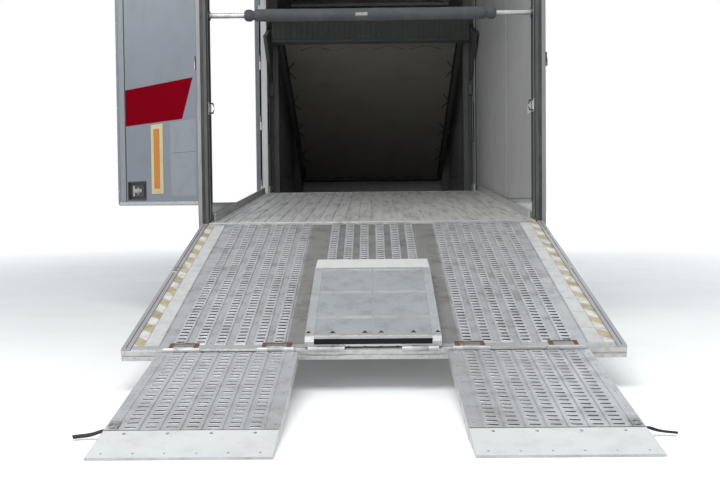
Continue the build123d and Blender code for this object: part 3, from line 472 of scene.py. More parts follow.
class Tree:
    """Short way to place and join shader nodes."""

    def __init__(self, tree: bpy.types.NodeTree) -> None:
        """Keeps the node tree that is filled."""
        self.tree = tree

    def put(self, kind: str, inputs: dict | None = None, **settings) -> bpy.types.Node:
        """Places one node.

        Args:
            kind: node type without its ShaderNode prefix.
            inputs: values or sockets by input name or number.
            settings: properties of the node.

        Returns:
            The node.
        """
        node = self.tree.nodes.new("ShaderNode" + kind)
        for key, value in settings.items():
            setattr(node, key, value)
        for key, value in (inputs or {}).items():
            if isinstance(value, bpy.types.NodeSocket):
                self.link(value, node.inputs[key])
            else:
                node.inputs[key].default_value = value
        return node

    def link(self, source: bpy.types.NodeSocket, target: bpy.types.NodeSocket) -> None:
        """Joins an output to an input."""
        self.tree.links.new(source, target)

    def here(self) -> bpy.types.NodeSocket:
        """Object coordinates of the shaded place."""
        return self.put("TexCoord").outputs["Object"]

    def maths(self, operation: str, a, b=0.0, clamp: bool = False) -> bpy.types.NodeSocket:
        """One arithmetic step on two values or sockets."""
        return self.put("Math", {0: a, 1: b}, operation=operation, use_clamp=clamp).outputs[0]

    def mix(self, factor, a, b) -> bpy.types.NodeSocket:
        """Mix of two colours or colour sockets."""
        return self.put("Mix", {0: factor, 6: a, 7: b}, data_type="RGBA").outputs[2]

    def ramp(self, factor, low: float, high: float) -> bpy.types.NodeSocket:
        """Smooth step from 0 at low to 1 at high."""
        limits = {"Value": factor, "From Min": low, "From Max": high}
        return self.put("MapRange", limits, interpolation_type="SMOOTHSTEP").outputs[0]

    def noise(self, vector, scale, detail: float) -> bpy.types.NodeSocket:
        """Noise value at a scale."""
        return self.put("TexNoise", {"Vector": vector, "Scale": scale, "Detail": detail}).outputs[0]


def empty_tree(owner: bpy.types.Material | bpy.types.World) -> Tree:
    """Node tree of a material or a world, with nothing in it."""
    owner.use_nodes = True
    owner.node_tree.nodes.clear()
    return Tree(owner.node_tree)


def colour(value) -> tuple:
    """Solid colour with its alpha of 1; a single number gives a grey."""
    value = (value,) * 3 if isinstance(value, (int, float)) else tuple(value)
    return (*value, 1.0)


def weathering_group() -> bpy.types.NodeTree:
    """Shared group: mottled colour, grime in the hollows of a large noise, and fine height.

    Returns:
        Group with inputs Vector, Colour, Grime, Amount, Spread, Large, Fine and outputs Colour, Dull, Height.
    """
    group = bpy.data.node_groups.new("Weathering", "ShaderNodeTree")
    face = group.interface
    face.new_socket("Vector", in_out="INPUT", socket_type="NodeSocketVector")
    for name in ("Colour", "Grime"):
        face.new_socket(name, in_out="INPUT", socket_type="NodeSocketColor")
    for name in ("Amount", "Spread", "Large", "Fine"):
        face.new_socket(name, in_out="INPUT", socket_type="NodeSocketFloat")
    face.new_socket("Colour", in_out="OUTPUT", socket_type="NodeSocketColor")
    for name in ("Dull", "Height"):
        face.new_socket(name, in_out="OUTPUT", socket_type="NodeSocketFloat")
    tree = Tree(group)
    source = group.nodes.new("NodeGroupInput").outputs
    target = group.nodes.new("NodeGroupOutput").inputs
    large = tree.noise(source["Vector"], source["Large"], 5.0)
    fine = tree.noise(source["Vector"], source["Fine"], 3.0)
    swing = tree.maths("MULTIPLY", tree.maths("SUBTRACT", large, 0.5), source["Spread"])
    both = tree.maths(
        "ADD", swing, tree.maths("MULTIPLY", tree.maths("SUBTRACT", fine, 0.5), source["Spread"]))
    bright = tree.maths("ADD", both, 1.0)
    tinted = tree.put("VectorMath", {0: source["Colour"]}, operation="SCALE")
    tree.link(bright, tinted.inputs["Scale"])
    patch_scale, patch_low, patch_high = 2.7, 0.42, 0.72
    size = tree.maths("MULTIPLY", source["Large"], patch_scale)
    inputs = {"Vector": source["Vector"], "Scale": size, "Detail": 8.0, "Roughness": 0.65}
    patch = tree.put("TexNoise", inputs).outputs[0]
    mask = tree.maths("MULTIPLY", tree.ramp(patch, patch_low, patch_high), source["Amount"], clamp=True)
    tree.link(tree.mix(mask, tinted.outputs[0], source["Grime"]), target["Colour"])
    tree.link(tree.maths("ADD", tree.maths("MULTIPLY", mask, 0.5), tree.maths("MULTIPLY", swing, 0.4)),
              target["Dull"])
    tree.link(tree.maths("ADD", tree.maths("MULTIPLY", fine, 0.6), tree.maths("MULTIPLY", patch, 0.4)),
              target["Height"])
    return group


WEATHERING = weathering_group()


@dataclass(frozen=True)
class Finish:
    """A worn solid finish: one colour that varies, grime, roughness and fine relief."""

    name: str
    tone: tuple
    rough: float = 0.5
    metal: float = 0.0
    grime: tuple = (0.08, 0.075, 0.065)
    amount: float = 0.3
    spread: float = 0.25
    large: float = 1.5
    fine: float = 60.0
    relief: float = 0.15
    depth: float = 0.001
    stretch: tuple = (1.0, 1.0, 1.0)
    coat: float = 0.0
    shine: float = 0.5

    def start(self) -> tuple[Tree, bpy.types.Node, bpy.types.Node, bpy.types.Material]:
        """Makes the material with its weathering group and shader.

        Returns:
            The tree, the group node, the shader node and the material.
        """
        material = bpy.data.materials.new(self.name)
        tree = empty_tree(material)
        vector = tree.put("Mapping", {"Vector": tree.here(), "Scale": self.stretch}).outputs[0]
        wear = {"Vector": vector, "Colour": colour(self.tone), "Grime": colour(self.grime),
                "Amount": self.amount, "Spread": self.spread, "Large": self.large, "Fine": self.fine}
        group = tree.put("Group", wear, node_tree=WEATHERING)
        shader = tree.put("BsdfPrincipled", {"Metallic": self.metal, "Coat Weight": self.coat,
                                             "Specular IOR Level": self.shine})
        tree.put("OutputMaterial", {0: shader.outputs[0]})
        rough = tree.maths("ADD", tree.maths("MULTIPLY", group.outputs["Dull"], 0.5), self.rough, clamp=True)
        tree.link(rough, shader.inputs["Roughness"])
        tree.link(group.outputs["Colour"], shader.inputs["Base Color"])
        bump = tree.put(
            "Bump", {"Height": group.outputs["Height"], "Strength": self.relief, "Distance": self.depth})
        tree.link(bump.outputs[0], shader.inputs["Normal"])
        return tree, group, shader, material

    def make(self) -> bpy.types.Material:
        """The finished material."""
        return self.start()[3]


@dataclass(frozen=True)
class Striped(Finish):
    """A finish crossed by even bands of a second colour, as painted hazard or marker strips."""

    second: tuple = (0.5, 0.5, 0.5)
    direction: tuple = (1.0, 1.0, 0.0)
    pitch: float = 0.1
    share: float = 0.5

    def make(self) -> bpy.types.Material:
        """Bands where the place along the direction, divided by the pitch, has a fraction over the share."""
        tree, group, _, material = self.start()
        where = tree.here()
        along = tree.put(
            "VectorMath", {0: where, 1: self.direction}, operation="DOT_PRODUCT").outputs["Value"]
        part = tree.maths("FRACT", tree.maths("DIVIDE", along, self.pitch))
        edge = tree.ramp(part, self.share - 0.02, self.share + 0.02)
        tree.link(tree.mix(edge, colour(self.tone), colour(self.second)), group.inputs["Colour"])
        return material


@dataclass(frozen=True)
class Zoned(Finish):
    """A finish whose tone changes beyond a distance from the middle plane, as on the ramp's rails."""

    edge: float = 1.0
    second: tuple = (0.5, 0.5, 0.5)

    def make(self) -> bpy.types.Material:
        """The second tone where the distance across from the truck's middle is over the edge."""
        tree, group, _, material = self.start()
        where = tree.put("SeparateXYZ", {0: tree.here()}).outputs[0]
        away = tree.maths("ABSOLUTE", tree.maths("SUBTRACT", where, PLACE.x))
        outer = tree.maths("GREATER_THAN", away, self.edge)
        tree.link(tree.mix(outer, colour(self.tone), colour(self.second)), group.inputs["Colour"])
        amount = tree.maths("MULTIPLY", tree.maths("SUBTRACT", 1.3, outer), self.amount)
        tree.link(amount, group.inputs["Amount"])
        return material


@dataclass(frozen=True)
class Fading(Finish):
    """A ground finish that glows slightly more with distance, so that no band shows at the background."""

    near: float = 3.0
    far: float = 17.0
    glow: float = 0.85

    def make(self) -> bpy.types.Material:
        """Emission grows with the distance from the truck's middle."""
        tree, _, shader, material = self.start()
        where = tree.here()
        away = tree.put("VectorMath", {0: where}, operation="LENGTH").outputs["Value"]
        glow = tree.mix(tree.ramp(away, self.near, self.far), colour(0.0), colour(self.glow))
        tree.link(glow, shader.inputs["Emission Color"])
        shader.inputs["Emission Strength"].default_value = 1.0
        return material


@dataclass(frozen=True)
class Woven(Finish):
    """Woven webbing or cloth: crossing threads as fine relief, with a painted highlight that lightens the
    raised thread crossings.
    """

    threads: float = 900.0
    lift: float = 1.9

    def make(self) -> bpy.types.Material:
        """Height is the larger of two wave patterns that cross."""
        tree, group, shader, material = self.start()
        where = tree.here()
        waves = [tree.put("TexWave", {"Vector": where, "Scale": self.threads / 20, "Distortion": 0.2},
                          bands_direction=axis).outputs["Fac"] for axis in ("X", "Y", "Z")]
        top = tree.maths(
            "MAXIMUM", tree.maths("MULTIPLY", waves[0], waves[1]), tree.maths("MULTIPLY", waves[1], waves[2]))
        # Painted highlight: the tone is lightened where the crossing threads stand highest.
        bright = colour(tuple(min(1.0, v * self.lift) for v in self.tone))
        tree.link(
            tree.mix(tree.maths("MULTIPLY", top, 0.35), colour(self.tone), bright), group.inputs["Colour"])
        bump = tree.put("Bump", {"Height": top, "Strength": 0.5, "Distance": 0.0006})
        tree.link(bump.outputs[0], shader.inputs["Normal"])
        return material


@dataclass(frozen=True)
class ClearFinish:
    """Clear or tinted glass or lamp lens with a faint film of dust."""

    name: str
    tone: tuple
    rough: float = 0.03
    through: float = 1.0
    dust: float = 0.12
    ribs: float = 0.0

    def make(self) -> bpy.types.Material:
        """Transmission and a mirror-like coat; the dust raises the roughness in patches."""
        material = bpy.data.materials.new(self.name)
        tree = empty_tree(material)
        where = tree.here()
        film = tree.ramp(tree.noise(where, 3.0, 6.0), 0.45, 0.75)
        rough = tree.maths("ADD", tree.maths("MULTIPLY", film, self.dust), self.rough)
        shader = tree.put("BsdfPrincipled", {"Base Color": colour(self.tone), "Roughness": rough, "IOR": 1.45,
                                             "Transmission Weight": self.through, "Coat Weight": 0.3})
        if self.ribs:
            wave = tree.put(
                "TexWave", {"Vector": where, "Scale": self.ribs}, bands_direction="X").outputs["Fac"]
            bump = tree.put("Bump", {"Height": wave, "Strength": 0.4, "Distance": 0.002})
            tree.link(bump.outputs[0], shader.inputs["Normal"])
        tree.put("OutputMaterial", {0: shader.outputs[0]})
        return material


GRIT = (0.075, 0.07, 0.06)
ROAD = (0.16, 0.15, 0.135)


RECIPES = (
    Finish("cab white", (0.76, 0.77, 0.76), 0.28, coat=0.4, grime=ROAD, amount=0.16, spread=0.05,
           large=0.7, relief=0.02),
    Finish("box white", (0.66, 0.67, 0.67), 0.38, coat=0.2, grime=(0.3, 0.29, 0.27), amount=0.22, spread=0.08,
           large=0.6, relief=0.03),
    Finish("leaf grey", (0.178, 0.198, 0.228), 0.42, grime=(0.14, 0.15, 0.16), amount=0.3, spread=0.1,
           large=1.1, relief=0.04),
    Finish("leaf band", (0.222, 0.238, 0.258), 0.42, grime=(0.14, 0.145, 0.15), amount=0.4, spread=0.12,
           large=1.4, relief=0.05),
    Finish("leaf patch", (0.226, 0.244, 0.27), 0.45, grime=(0.16, 0.17, 0.18), amount=0.4, spread=0.1,
           large=2.2, relief=0.04),
    Finish("stripe red", (0.176, 0.0016, 0.0075), 0.65, grime=(0.12, 0.002, 0.008), amount=0.2, spread=0.1,
           relief=0.03, shine=0.0),
    Finish("marker cream", (0.50, 0.46, 0.27), 0.5, grime=GRIT, amount=0.2, relief=0.02),
    Finish("marker orange", (0.47, 0.165, 0.002), 0.55, grime=(0.42, 0.15, 0.01), amount=0.3, relief=0.02),
    Finish("lining grey", (0.35, 0.35, 0.342), 0.45, grime=(0.26, 0.25, 0.23), amount=0.35, spread=0.1,
           large=0.9, relief=0.04),
    Finish("seam dark", (0.022, 0.022, 0.023), 0.6, amount=0.2),
    Finish("seal rubber", (0.018, 0.018, 0.018), 0.6, grime=(0.1, 0.095, 0.085), amount=0.5, spread=0.3),
    Finish("black plastic", (0.022, 0.023, 0.024), 0.5, grime=(0.09, 0.085, 0.075), amount=0.35, spread=0.3,
           fine=240, relief=0.1),
    Finish("frame paint", (0.028, 0.03, 0.034), 0.5, grime=ROAD, amount=0.55, spread=0.3,
           large=2.5, relief=0.2),
    Finish("axle iron", (0.05, 0.046, 0.042), 0.6, metal=0.35, grime=(0.16, 0.09, 0.05), amount=0.6,
           spread=0.4, large=5, relief=0.35),
    Finish("hinge rust", (0.11, 0.065, 0.04), 0.75, metal=0.3, grime=(0.2, 0.075, 0.025), amount=0.85,
           spread=0.5, large=9, fine=180, relief=0.6),
    Finish("zinc steel", (0.46, 0.46, 0.45), 0.36, metal=0.9, grime=(0.14, 0.12, 0.1), amount=0.4, spread=0.2,
           large=6, relief=0.1),
    # Two copies of one aluminium, darkened as painted shade: deep on the rear frame and half on the posts'
    # outer strips.
    Finish("post metal painted shade", (0.068, 0.069, 0.071), 0.42, metal=0.55, grime=(0.17, 0.16, 0.15), amount=0.4,
           spread=0.15, large=1.6, stretch=(6, 6, 1), relief=0.06),
    Finish("post metal painted half shade", (0.24, 0.24, 0.238), 0.42, metal=0.55, grime=(0.17, 0.16, 0.15), amount=0.4,
           spread=0.15, large=1.6, stretch=(6, 6, 1), relief=0.06),
    Finish("rail aluminium", (0.55, 0.55, 0.54), 0.38, metal=0.6, grime=(0.25, 0.235, 0.21), amount=0.4,
           spread=0.18, large=2.4, stretch=(5, 0.6, 5), relief=0.08),
    Zoned("ramp plain", (0.49, 0.492, 0.50), 0.42, metal=0.45, grime=(0.16, 0.152, 0.14), amount=0.5,
          spread=0.3, large=2.6, fine=90, relief=0.12,
          edge=1.1946, second=(0.40, 0.395, 0.40)),
    Finish("ramp dull", (0.31, 0.305, 0.292), 0.42, metal=0.45, grime=(0.09, 0.085, 0.075), amount=0.55,
           spread=0.3, large=2.6, fine=90, relief=0.12),
    Finish("ramp raised", (0.59, 0.592, 0.60), 0.4, metal=0.5, grime=(0.16, 0.152, 0.138), amount=0.5,
           spread=0.28, large=3.2, fine=110, relief=0.12),
    Finish("flap plain", (0.53, 0.532, 0.54), 0.42, metal=0.5, grime=(0.17, 0.16, 0.145), amount=0.45,
           spread=0.25, large=3.0, fine=100, relief=0.12),
    Finish("flap under", (0.35, 0.365, 0.38), 0.5, metal=0.3, grime=(0.17, 0.165, 0.155), amount=0.55,
           spread=0.28, large=3.4, fine=90, relief=0.15),
    # Near-black: painted shade on the floors of the pressed slots and at the flaps' hinge ends; also the black
    # marks and lines.
    Finish("black and painted shade", (0.004, 0.004, 0.004), 0.9, amount=0.0),
    Finish("floor planks", (0.66, 0.65, 0.63), 0.42, metal=0.35, grime=(0.12, 0.115, 0.105), amount=0.6,
           spread=0.3, large=1.2, fine=60, stretch=(6, 0.5, 6), relief=0.1),
    # Pale white of tips, latches, plates and lamps; on the load space's front wall it is painted light.
    Finish("tip white", (0.60, 0.60, 0.59), 0.45, grime=(0.36, 0.35, 0.33), amount=0.28, spread=0.1,
           large=3.5, fine=120, relief=0.06),
    Finish("white strip", (0.50, 0.50, 0.49), 0.5, grime=(0.26, 0.25, 0.235), amount=0.4, spread=0.2,
           large=4.0, relief=0.08),
    Striped("hazard strip", (0.42, 0.36, 0.22), 0.55, grime=(0.12, 0.11, 0.09), amount=0.6, spread=0.3,
            large=5.0, relief=0.08,
            second=(0.58, 0.57, 0.53), direction=(0.70, 0.70, 0.0), pitch=0.14),
    Finish("lift steel", (0.10, 0.105, 0.10), 0.5, metal=0.3, grime=(0.09, 0.075, 0.06), amount=0.35,
           spread=0.25, large=4, relief=0.12),
    Finish("deck paint", (0.064, 0.073, 0.067), 0.5, grime=(0.13, 0.10, 0.075), amount=0.4, spread=0.3,
           large=3.0, fine=120, relief=0.2),
    Finish("tarpaulin", (0.235, 0.223, 0.195), 0.6, grime=(0.16, 0.152, 0.135), amount=0.3, spread=0.12,
           large=1.2, fine=300, relief=0.2),
    Finish("lace cord", (0.03, 0.03, 0.028), 0.75, grime=GRIT, amount=0.4, spread=0.3, fine=400),
    Finish("tyre rubber", (0.016, 0.016, 0.0155), 0.72, grime=(0.075, 0.07, 0.062), amount=0.5, spread=0.3,
           large=4, fine=260, relief=0.2),
    Finish("tyre groove", (0.008, 0.008, 0.008), 0.85, grime=(0.04, 0.037, 0.033), amount=0.5, spread=0.3,
           large=6, relief=0.2),
    Finish("rim paint", (0.42, 0.43, 0.43), 0.42, metal=0.5, grime=(0.075, 0.055, 0.04), amount=0.6,
           spread=0.25, large=5, relief=0.15),
    Finish("tank aluminium", (0.56, 0.57, 0.57), 0.3, metal=0.9, grime=ROAD, amount=0.4, spread=0.12,
           large=2.0, stretch=(8, 0.5, 8), relief=0.08),
    Finish("lamp body", (0.03, 0.03, 0.03), 0.4, amount=0.2),
    Finish("reflector", (0.8, 0.8, 0.8), 0.12, metal=1.0, amount=0.05, spread=0.02),
    Finish("cab trim", (0.045, 0.047, 0.052), 0.6, amount=0.15, spread=0.2, fine=300, relief=0.15),
    Finish("engine iron", (0.075, 0.073, 0.07), 0.55, metal=0.5, grime=(0.05, 0.04, 0.03), amount=0.6,
           spread=0.3, large=6, relief=0.3),
    Finish("foam", (0.050, 0.054, 0.060), 0.88, grime=(0.11, 0.11, 0.11), amount=0.45, spread=0.35, large=4,
           fine=330, relief=0.7, depth=0.002),
    Finish("foam light", (0.32, 0.31, 0.27), 0.9, grime=(0.12, 0.11, 0.1), amount=0.5, spread=0.4, large=20,
           fine=300, relief=0.8, depth=0.002),
    Woven("webbing black", (0.012, 0.012, 0.013), 0.75, grime=(0.06, 0.055, 0.05), amount=0.4,
          spread=0.3, large=14),
    Woven("webbing pale", (0.33, 0.32, 0.29), 0.8, grime=GRIT, amount=0.4, spread=0.3, large=9),
    Woven("seat cloth", (0.05, 0.055, 0.07), 0.9, grime=(0.09, 0.09, 0.09), amount=0.2, spread=0.25, large=6),
    Finish("visor", (0.02, 0.024, 0.026), 0.16, coat=0.5, amount=0.15, spread=0.1, relief=0.02),
    Fading("studio floor", (0.80, 0.80, 0.79), 0.75, grime=(0.72, 0.72, 0.71), amount=0.4, spread=0.03,
           large=0.4, fine=12, relief=0.03),
    ClearFinish("glass", (0.72, 0.80, 0.80), 0.02, dust=0.1),
    ClearFinish("lamp clear", (0.95, 0.96, 0.96), 0.03, dust=0.05, ribs=22),
    ClearFinish("lamp red", (0.52, 0.012, 0.012), 0.12, through=0.35, ribs=30),
    ClearFinish("lamp amber", (0.75, 0.22, 0.01), 0.12, through=0.35, ribs=30),
)


class Finishes:
    """Every material of the truck, made once."""

    def __init__(self) -> None:
        """Makes the materials by name."""
        self.all = {recipe.name: recipe.make() for recipe in RECIPES}

    def pick(self, *names: str) -> list[bpy.types.Material]:
        """Materials by name, in order."""
        return [self.all[name] for name in names]


NODE_FINISHES = {
    "frame paint": ("chassis_frame", "battery_box"),
    "engine iron": ("engine_block",),
    "axle iron": ("front_axle", "rear_axle", "knuckle_left", "knuckle_right"),
    "tyre rubber": ("tyre_front_left", "tyre_front_right", "tyres_rear_left", "tyres_rear_right"),
    "rim paint": ("rim_front_left", "rim_front_right", "rims_rear_left", "rims_rear_right"),
    "tank aluminium": ("fuel_tank",),
    "rail aluminium": ("side_guards",),
    "seal rubber": ("mudguards",),
    "floor planks": ("box_floor",),
    "box white": ("box_wall_left", "box_wall_right", "box_front_wall", "box_roof"),
    # The rear frame is the aluminium darkened as painted shade.
    "post metal painted shade": ("rear_portal",),
    "lamp body": ("rear_lamps",),
    "zinc steel": ("cross_bar",),
    "foam": ("bar_padding",),
    "leaf grey": ("side_door_rear_left", "side_door_rear_right", "side_door_front_left",
                  "side_door_front_right"),
    "ramp plain": ("ramp",),
    "flap plain": ("flap_left", "flap_right", "flap_centre"),
    "webbing black": ("strap_left", "strap_right"),
    "deck paint": ("deck_frame", "deck_guides"),
    "tarpaulin": ("deck_sheet",),
    "lift steel": ("lift_columns",),
    "cab white": ("cab_shell", "cab_door_left", "cab_door_right", "roof_deflector"),
    "glass": ("windscreen", "door_glass_left", "door_glass_right"),
    "black plastic": ("mirror_left", "mirror_right", "cab_grille", "front_bumper", "bumper_corner_left",
                      "bumper_corner_right", "bumper_grille"),
    "lamp clear": ("headlamps",),
    "seat cloth": ("cab_seats",),
    "cab trim": ("dashboard",),
}


def dress_nodes(finishes: Finishes) -> None:
    """Gives every CAD node its finish through its own material slots."""
    for name, nodes in NODE_FINISHES.items():
        for node in nodes:
            for slot in frame["nodes"][node].material_slots:
                slot.material = finishes.all[name]


# Sub-assemblies

class SubAssembly:
    """A group of surfaces that one class builds with the shared finishes."""

    def __init__(self, finishes: Finishes) -> None:
        """Keeps the finishes."""
        self.finishes = finishes
        self.truck = truck_axes()

    def build(self) -> None:
        """Makes the objects; each sub-assembly has its own."""
        raise NotImplementedError

    def make(self, shape: Shape, name: str, body: str, *finishes: str,
             crease: float = 35.0) -> bpy.types.Object:
        """Makes one piece of a shape and lets it ride on its body.

        Args:
            shape: the collected shape.
            name: the piece's name.
            body: CAD body that carries it.
            finishes: names of finishes in slot order.
            crease: edges that turn more than this many degrees stay sharp.

        Returns:
            The new object.
        """
        return shape.build(name, self.finishes.pick(*finishes), body, crease)


@dataclass(frozen=True)
class SlotSizes:
    """One pressed slot: a rounded raised rim round a hole whose floor is a near-black face, painted shade of
    the hole's depth.
    """

    length: float
    width: float
    rim: float
    height: float

    def template(self) -> tuple[Array, list, list]:
        """Rim as three rings (foot, crest, lip) and the hole's floor.

        Returns:
            Points, faces of the rim and faces of the hole.
        """
        steps = 12
        angle = (np.arange(steps) + 0.5) * 2 * math.pi / steps
        straight = (self.length - self.width) / 2
        shift = np.where(np.cos(angle) > 0, straight, -straight)

        def ring(grow: float, height: float) -> Array:
            """Outline of the slot, grown by a distance, at a height."""
            radius = self.width / 2 + grow
            return np.stack(
                (np.cos(angle) * radius + shift, np.sin(angle) * radius, np.full(steps, height)), 1)

        points = np.concatenate((ring(self.rim, 0), ring(self.rim * 0.35, self.height),
                                 ring(0, self.height * 0.75), ring(-0.001, 0.0005)))
        return points, [grid_quads(4, steps)], [np.arange(steps)[None] + 3 * steps]


def put_slots(shape: Shape, axes: Axes, places, size: SlotSizes, rim_slot: int, hole_shade_slot: int) -> None:
    """Adds slots at places of a local frame, long side on its x.

    Args:
        shape: shape to add to.
        axes: local frame of the places.
        places: n by 3 places.
        size: sizes of one slot.
        rim_slot: material slot of the rims.
        hole_shade_slot: material slot of the holes' floors, near-black painted shade.
    """
    points, rims, holes = size.template()
    places = np.asarray(places, float)
    cloud = axes.out((places[:, None, :] + points[None]).reshape(-1, 3)).reshape(len(places), -1, 3)
    shape.copies(points, rims, cloud, rim_slot)
    shape.copies(points, holes, cloud, hole_shade_slot)


def grid_places(xs, ys, z: float) -> Array:
    """Every pair of x and y at one height."""
    x, y = np.meshgrid(xs, ys)
    return np.stack((x.ravel(), y.ravel(), np.full(x.size, z)), 1)


@dataclass(frozen=True)
class RampSizes:
    """Ramp: its frame lies on the hinge axis, y up the slope and z square to it."""

    slope: float = 13.2
    length: float = 2.48
    top: float = 0.030
    thick: float = 0.055
    rail_in: float = 1.195
    half: float = 1.240
    flap_axis: tuple = (-2.50, 0.038)
    columns: tuple = (0.053, 0.156, 0.259, 0.470, 0.567, 0.664, 0.762, 0.863, 0.964)
    column_width: float = 0.060
    row_pitch: float = 0.045
    rows: int = 53
    slot: SlotSizes = SlotSizes(0.046, 0.0200, 0.0020, 0.0010)


class Ramp(SubAssembly):
    """Slotted driving strips, painted edge strips, screws, catches and end profile of the ramp."""

    size = RampSizes()

    def build(self) -> None:
        """Builds everything that rides on the ramp."""
        s = self.size
        axes = sloped_axes(joint_place("ramp_hinge"), s.slope)
        self.strips(axes)
        self.edges(axes)
        self.fittings(axes)

    def strips(self, axes: Axes) -> None:
        """Raised strips with rows of slots and screws in the valleys between them.

        Args:
            axes: the ramp's frame.
        """
        s = self.size
        columns = np.array([-c for c in s.columns[::-1]] + list(s.columns))
        shape = Shape()
        for x in columns:
            put_slab(shape, axes, about(x, s.column_width / 2), (-s.length + 0.07, -0.05),
                     (s.top - 0.003, s.top + 0.0035), 0.002, 0)
        rows = -0.085 - np.arange(s.rows) * s.row_pitch
        rows = rows[rows > -s.length + 0.09]
        # The slots' floors are near-black: painted shade of the holes' depth.
        put_slots(shape, axes, grid_places(columns, rows, s.top + 0.0036), s.slot, 0, 1)
        self.make(shape, "Ramp driving strips", "ramp", "ramp raised", "black and painted shade")
        valleys = [(a + b) / 2 for a, b in zip(columns, columns[1:])]
        screws = Shape()
        put_domes(
            screws, axes, grid_places(valleys, np.arange(-2.38, -0.1, 0.3), s.top - 0.004), 0.006, 0.003)
        self.make(screws, "Ramp plate screws", "ramp", "zinc steel")

    def edges(self, axes: Axes) -> None:
        """Striped edge strip, white segments and a plain grey strip inside each rail.

        Args:
            axes: the ramp's frame.
        """
        s = self.size
        shape = Shape()
        for side in (-1, 1):
            put_slab(shape, axes, across(side, 1.142, 1.193), (-s.length + 0.03, -0.05),
                     (s.top - 0.001, s.top + 0.0012), 0.0005, 0)
            ends = np.linspace(-s.length + 0.03, -0.05, 11)
            for low, high in zip(ends, ends[1:]):
                put_slab(shape, axes, across(side, 1.067, 1.138), (low + 0.002, high - 0.002),
                         (s.top - 0.001, s.top + 0.0012), 0.0005, 1)
            put_slabs(shape, axes, (
                ((0.300, 0.430), (-s.length + 0.07, -0.05), (s.top - 0.006, s.top - 0.001), 0.001, 2),
                ((0.0, 0.298), (-s.length + 0.07, -0.05), (s.top - 0.006, s.top - 0.0025), 0.001, 2),
            ), side)
        self.make(shape, "Ramp edge strips", "ramp", "hazard strip", "white strip", "ramp dull")

    def fittings(self, axes: Axes) -> None:
        """Grooved end profile, rail cover, catches on the rails and the raised rusty hinge leaves.

        Args:
            axes: the ramp's frame.
        """
        s = self.size
        shape = Shape()
        end = -s.length
        put_slabs(shape, axes, (
            ((-s.rail_in + 0.002, s.rail_in - 0.002), (end + 0.002, end + 0.058),
             (s.top - 0.006, s.top + 0.0025), 0.0015, 0),
            ((-s.half + 0.004, s.half - 0.004), (end - 0.0035, end + 0.002),
             (s.top - 0.026, s.top - 0.002), 0.001, 0),
            ((-s.half + 0.004, s.half - 0.004), (end - 0.0035, end + 0.002),
             (s.top - s.thick + 0.001, s.top - 0.032), 0.001, 0),
        ))
        for side in (-1, 1):
            x = side * (s.rail_in + s.half) / 2
            put_slab(shape, axes, about(x, 0.002), (end + 0.01, -0.04),
                     (s.top + 0.0078, s.top + 0.0084), 0.0003, 1)
            for y in (-1.12, -1.18):
                put_slab(
                    shape, axes, about(x, 0.016), about(y, 0.02), (s.top + 0.006, s.top + 0.0094), 0.001, 2)
            put_slab(shape, axes, about(x, 0.008), (-1.20, -1.10), (s.top + 0.008, s.top + 0.0106), 0.001, 2)
        for middle in (-0.7075, 0.0, 0.7075):
            for x in about(middle, 0.23):
                put_slabs(shape, axes, (
                    (about(x, 0.074), (end + 0.012, end + 0.088), (s.top - 0.002, s.top + 0.0042), 0.002, 3),
                    (about(x, 0.050), (end + 0.024, end + 0.066), (s.top + 0.003, s.top + 0.0058), 0.002, 2),
                ))
                for dx in (-0.062, 0.062):
                    put_domes(shape, axes, [(x + dx, end + 0.032, s.top + 0.004),
                                            (x + dx, end + 0.068, s.top + 0.004)], 0.006, 0.002, 3)
        self.make(shape, "Ramp profiles and catches", "ramp", "rail aluminium", "black and painted shade",
                  "zinc steel", "hinge rust")


@dataclass(frozen=True)
class FlapSizes:
    """Ramp flap: its frame lies on its own hinge axis, y towards the hinge and z up from the driving face."""

    length: float = 1.3
    top: float = -0.008
    thick: float = 0.045
    rail: float = 0.045
    tip: float = 0.262
    tip_thick: float = 0.008
    rows: int = 22
    row_pitch: float = 0.0455
    slot: SlotSizes = SlotSizes(0.048, 0.0150, 0.0022, 0.0013)


class FlapSide(Enum):
    """The three flaps: name, middle across, width and fall of the rear half to the rear."""

    LEFT = ("left", -0.7075, 0.685, 8.43)
    RIGHT = ("right", 0.7075, 0.685, 8.43)
    CENTRE = ("centre", 0.0, 0.670, -164.4)


